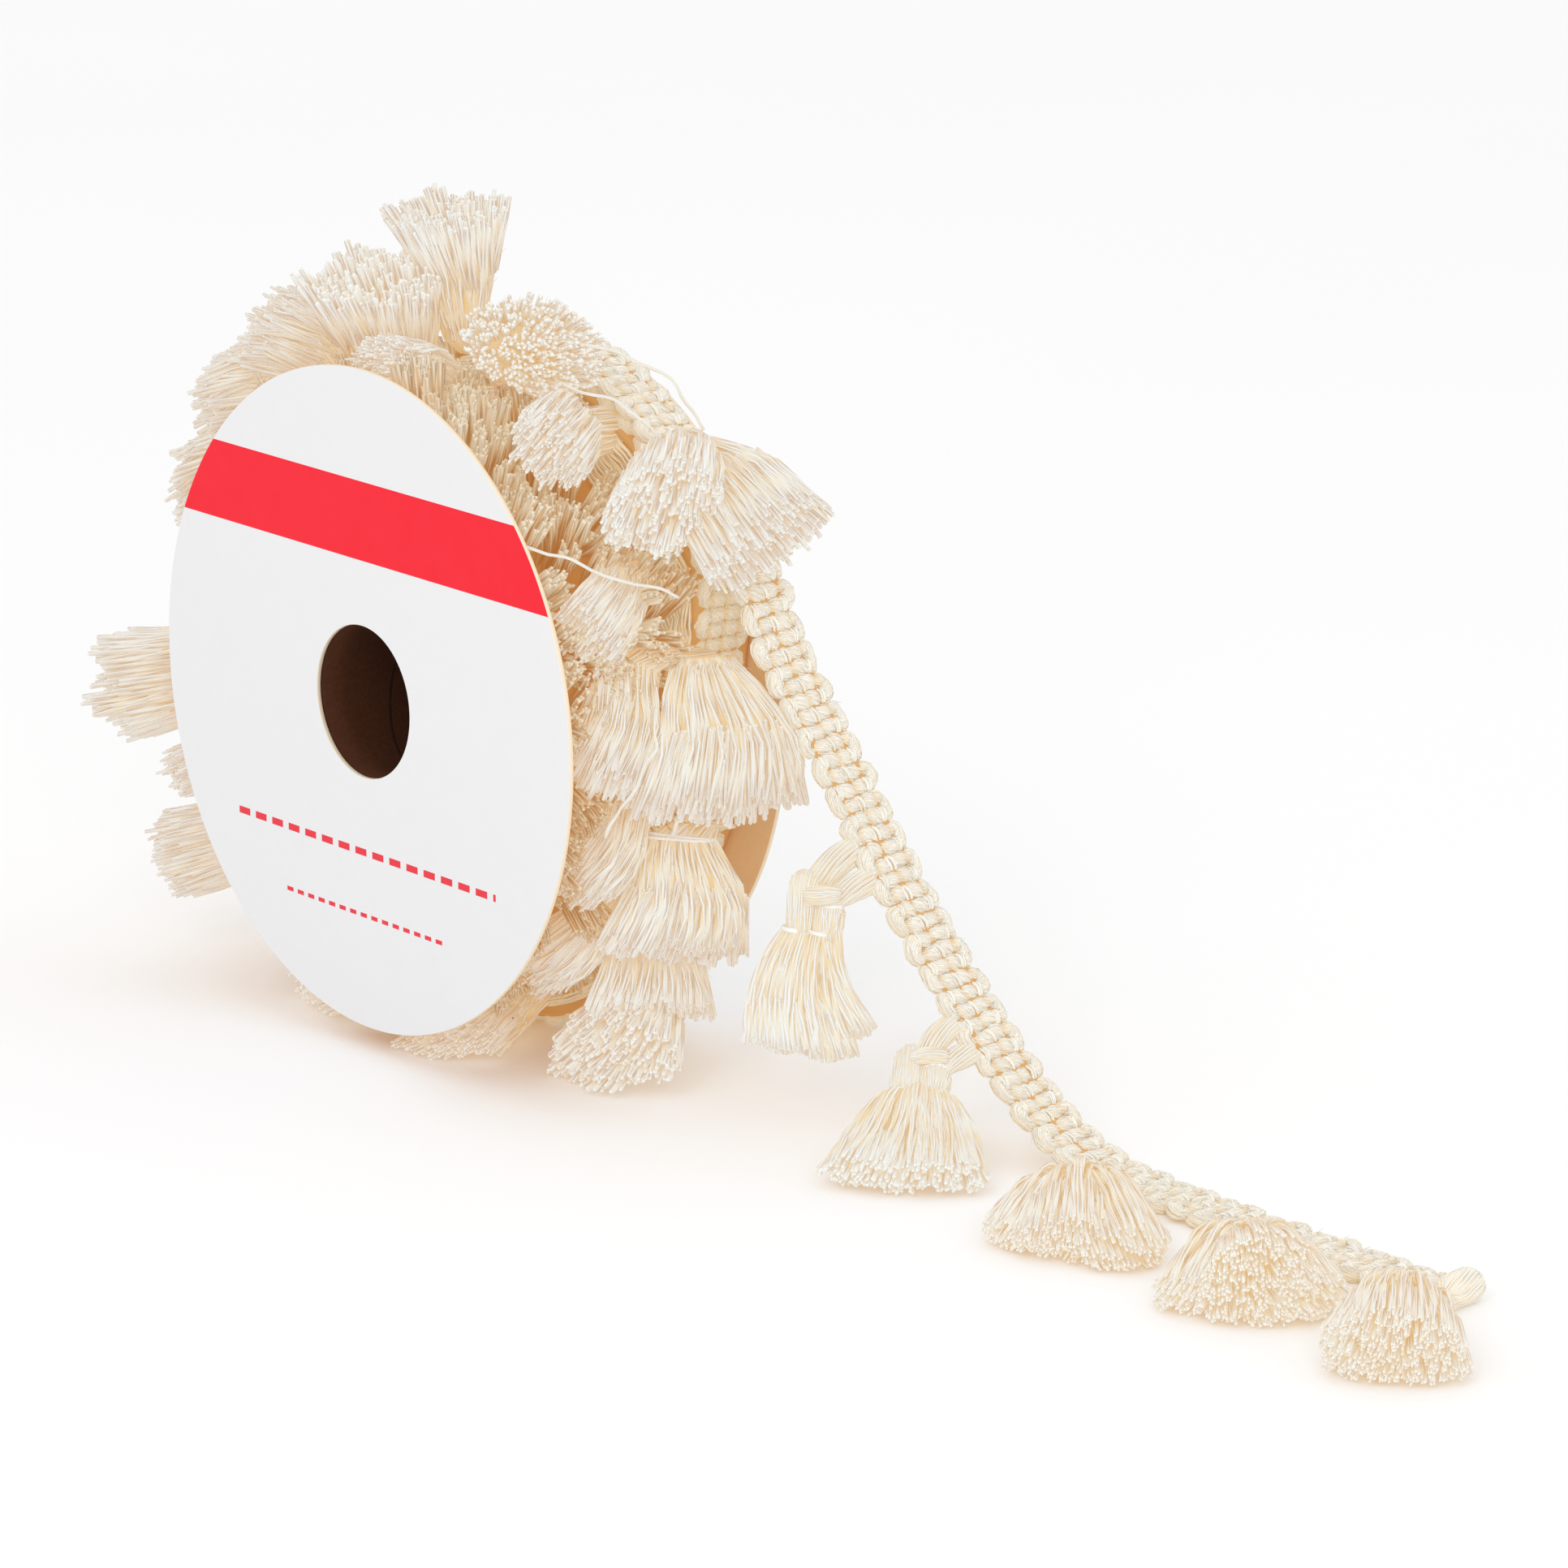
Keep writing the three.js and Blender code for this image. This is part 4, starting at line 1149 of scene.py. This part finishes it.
def wound_body():
    inner = BORE_RADIUS + CORE_WALL + GAP
    end = INNER_HALF - GAP
    bed = [(BED_RADIUS, y) for y in np.linspace(-end, STACK_FACE_Y - 1, 16)]
    face = [(r, STACK_FACE_Y) for r in np.linspace(BED_RADIUS, STACK_RADIUS - 2.2, 14)]
    top = [(STACK_RADIUS - 1.2, y) for y in np.linspace(STACK_FACE_Y + 0.6, end - 0.6, 8)]
    profile = [(inner, -end)] + bed + face + top + [(STACK_RADIUS - 2.2, end), (inner, end)]

    def move(radius, y, angle):
        on_bed = (radius > inner + 1) & (y < STACK_FACE_Y - 0.5)
        lumps = np.sin(5 * angle + y * 0.21) + np.cos(3 * angle + y * 0.5) + np.sin(9 * angle - y * 0.33)
        fine = np.sin(23 * angle + y * 0.9) * np.cos(17 * angle - y * 0.7)
        radius = radius + np.where(on_bed, 1.25 * lumps + 1.1 * fine, 0)
        on_face = (np.abs(y - STACK_FACE_Y) < 0.2) & (radius < STACK_RADIUS)
        ridge = 0.7 * np.cos(2 * PI * radius / 3.0) + 0.5 * np.sin(31 * angle + radius)
        y = np.where(on_face, y + ridge, y)
        stacked = (radius > BED_RADIUS) & ~on_bed
        share = np.clip(stack_share(radius), 0, 1)
        return np.where(stacked, radius + share * shifted(angle), radius), y

    # the wound mass is painted in deep shade
    settle(lathe("wound_trim_body", profile, 180, deep_yarn, shade=0.15, move=move), "cotton", "wound_trim")


def outer_turn():
    """Woven face of the last full turn on the stack."""
    degrees = 90.0 - np.arange(0, 361, 1.0)
    line = on_reel(degrees, STACK_RADIUS - 1.0 + shifted(np.radians(degrees)), BRAID_Y)
    line[:, 2] = np.maximum(line[:, 2], 1.4)
    ribbon = Ribbon(line)
    strands = Strands(seed=11)
    body, ends, level = weft(ribbon, (0.92, 1.0), WEFT_STOPS[::2], turn_steps=3)
    # painted shade: the turn on the stack darker than the loose end
    strands.store(body, ends, lerp(-0.1, 0.75, level), WEFT_TONE, WEFT_YARNS)
    strands.tubes(warp(ribbon, per_row=2), 0.42, sides=3, shade=0.7)
    stack_edges(strands)
    strands.piece("wound_trim_outer_turn", braid_yarn)


STACK_TURNS = 5
TURN_PITCH = 3.2


def stack_edges(strands):
    """Edge lobes of the turns below, as they show on the stack's near face."""
    angle = np.radians(np.arange(0, 361, 2.0))
    for turn in range(STACK_TURNS):
        radius = STACK_RADIUS - 4.2 - turn * TURN_PITCH
        wave = np.abs(np.sin(PI * radius * angle / LOBE_PITCH + turn)) ** 0.6
        shift = stack_share(radius) * shifted(angle)
        for lane in range(3):
            y = STACK_FACE_Y - 0.4 - wave * (1.7 - 0.25 * lane) + 0.35 * lane
            spot = radius + (lane - 1) * 0.8 + strands.rng.normal(0, 0.08, len(angle)) + shift
            # the edges of the turns below in painted shade
            strands.tubes(on_reel(np.degrees(angle), spot, y), 0.5, sides=3, shade=0.5)


BED_COLUMNS = (-25.5, -15.0, -5.0, 5.0)
BED_AROUND = 34
BED_YARNS = 26
BED_STEPS = 5
BED_ROOT = 56
BED_TOP = (72, 80)
BED_FRONT = -30.2


def crushed_ends():
    """Brush ends of the inner turns' tassels, pressed together between the stack and the front disc."""
    strands = Strands(seed=21)
    rng = strands.rng
    u = np.linspace(0, 1, BED_STEPS)[None]
    for column, y in enumerate(BED_COLUMNS):
        for step in range(BED_AROUND):
            degrees = 360 * (step + 0.5 * (column % 2)) / BED_AROUND + rng.normal(0, 2.2)
            root = on_reel(degrees + rng.normal(0, 4), BED_ROOT, y + rng.normal(3, 2))
            high = smooth(0.5 + 0.9 * math.sin(math.radians(degrees)))
            top = rng.uniform(*BED_TOP) + 4 * high
            tip = on_reel(degrees, top, np.clip(y + rng.normal(-1.5, 2.5), -27, 8))
            hint = unit(rng.normal(size=3))
            t = Tassel(root, tip, hint, rng.uniform(14, 19), rng.uniform(11, 15))
            paths = skirt_paths(t, disc_places(BED_YARNS, rng), BED_STEPS, rng, 2.2)
            paths[..., 1] = np.clip(paths[..., 1], BED_FRONT, STACK_FACE_Y - 1)
            # painted shade and light: dark at the roots, lighter towards the top of the reel and at the
            # frayed ends
            value = lerp(0.05, rng.uniform(0.4, 0.75) + 0.3 * high, smooth(u * 1.25 - 0.25))
            strands.tubes(paths, lerp(0.6, 0.92, u), sides=3, shade=value)
            paler = value[0, -1] + 0.12
            strands.frayed_ends(paths, split=1, length=2.8, spread=0.9, radius=0.5, shade=paler)
    strands.piece("wound_trim_cut_ends", bed_yarn)


# Reel

BEVEL = 0.15


def flange(way, material, node):
    """Card disc with a finely rounded rim, on the side of the reel that way gives."""
    corner = [(BORE_RADIUS, BEVEL), (BORE_RADIUS + BEVEL, 0), (BORE_RADIUS + 6, 0), (50, 0),
              (FLANGE_RADIUS - BEVEL, 0), (FLANGE_RADIUS, BEVEL)]
    profile = [(r, way * (INNER_HALF + depth)) for r, depth in corner]
    profile += [(r, way * (HALF_WIDTH - depth)) for r, depth in corner[::-1]]
    piece = lathe(f"{node}_card", profile, 256, material, shade=1.0)
    for polygon in piece.data.polygons:
        polygon.use_smooth = abs(polygon.normal.y) < 0.9
    settle(piece, "card_white", node)


def core_tube():
    end = INNER_HALF - GAP
    profile = [(BORE_RADIUS, y) for y in np.linspace(-end, end, 9)]
    profile += [(BORE_RADIUS + CORE_WALL, y) for y in np.linspace(end, -end, 9)]
    settle(lathe("core_tube_card", profile, 96, card_tube(), shade=1.0), "card_kraft", "core_tube")


# Floor and light

FLOOR_HALF = 6.0


def make_floor():
    n = Nodes("floor")
    pale = n.mix(n.noise(n.coordinate(), 3.0, 2.0), (0.93, 0.93, 0.93), (0.95, 0.95, 0.95))
    n.set(Base_Color=pale, Roughness=0.95, Specular_IOR_Level=0.05)
    mesh = bpy.data.meshes.new("floor")
    corners = [(x * FLOOR_HALF, y * FLOOR_HALF, 0) for x, y in ((-1, -1), (1, -1), (1, 1), (-1, 1))]
    mesh.from_pydata(corners, [], [(0, 1, 2, 3)])
    add_piece("floor", mesh, n.material)


def soft_light(name, spot, target, size, power):
    data = bpy.data.lights.new(name, "AREA")
    data.shape = "DISK"
    data.size = size
    data.energy = power
    add_at(name, data, spot, Vector(spot) - Vector(target))


def make_light():
    world = bpy.data.worlds.new("studio")
    world.use_nodes = True
    world.node_tree.nodes["Background"].inputs["Color"].default_value = (1, 1, 1, 1)
    world.node_tree.nodes["Background"].inputs["Strength"].default_value = 1.0
    bpy.context.scene.world = world
    bpy.context.scene.view_settings.view_transform = "Standard"
    soft_light("key", (0.9, -1.6, 1.3), (0, 0, 0.08), size=0.8, power=4.5)
    soft_light("front", (1.5, -1.0, 0.75), (0, 0, 0.08), size=0.7, power=4.5)


make_camera()
tail_tassels(loose_braid())
reel_tassels()
stray_yarns()
wound_body()
outer_turn()
crushed_ends()
flange(-1, card_disc("card_front", True), "flange_front")
flange(1, card_disc("card_back", False), "flange_back")
core_tube()
make_floor()
make_light()
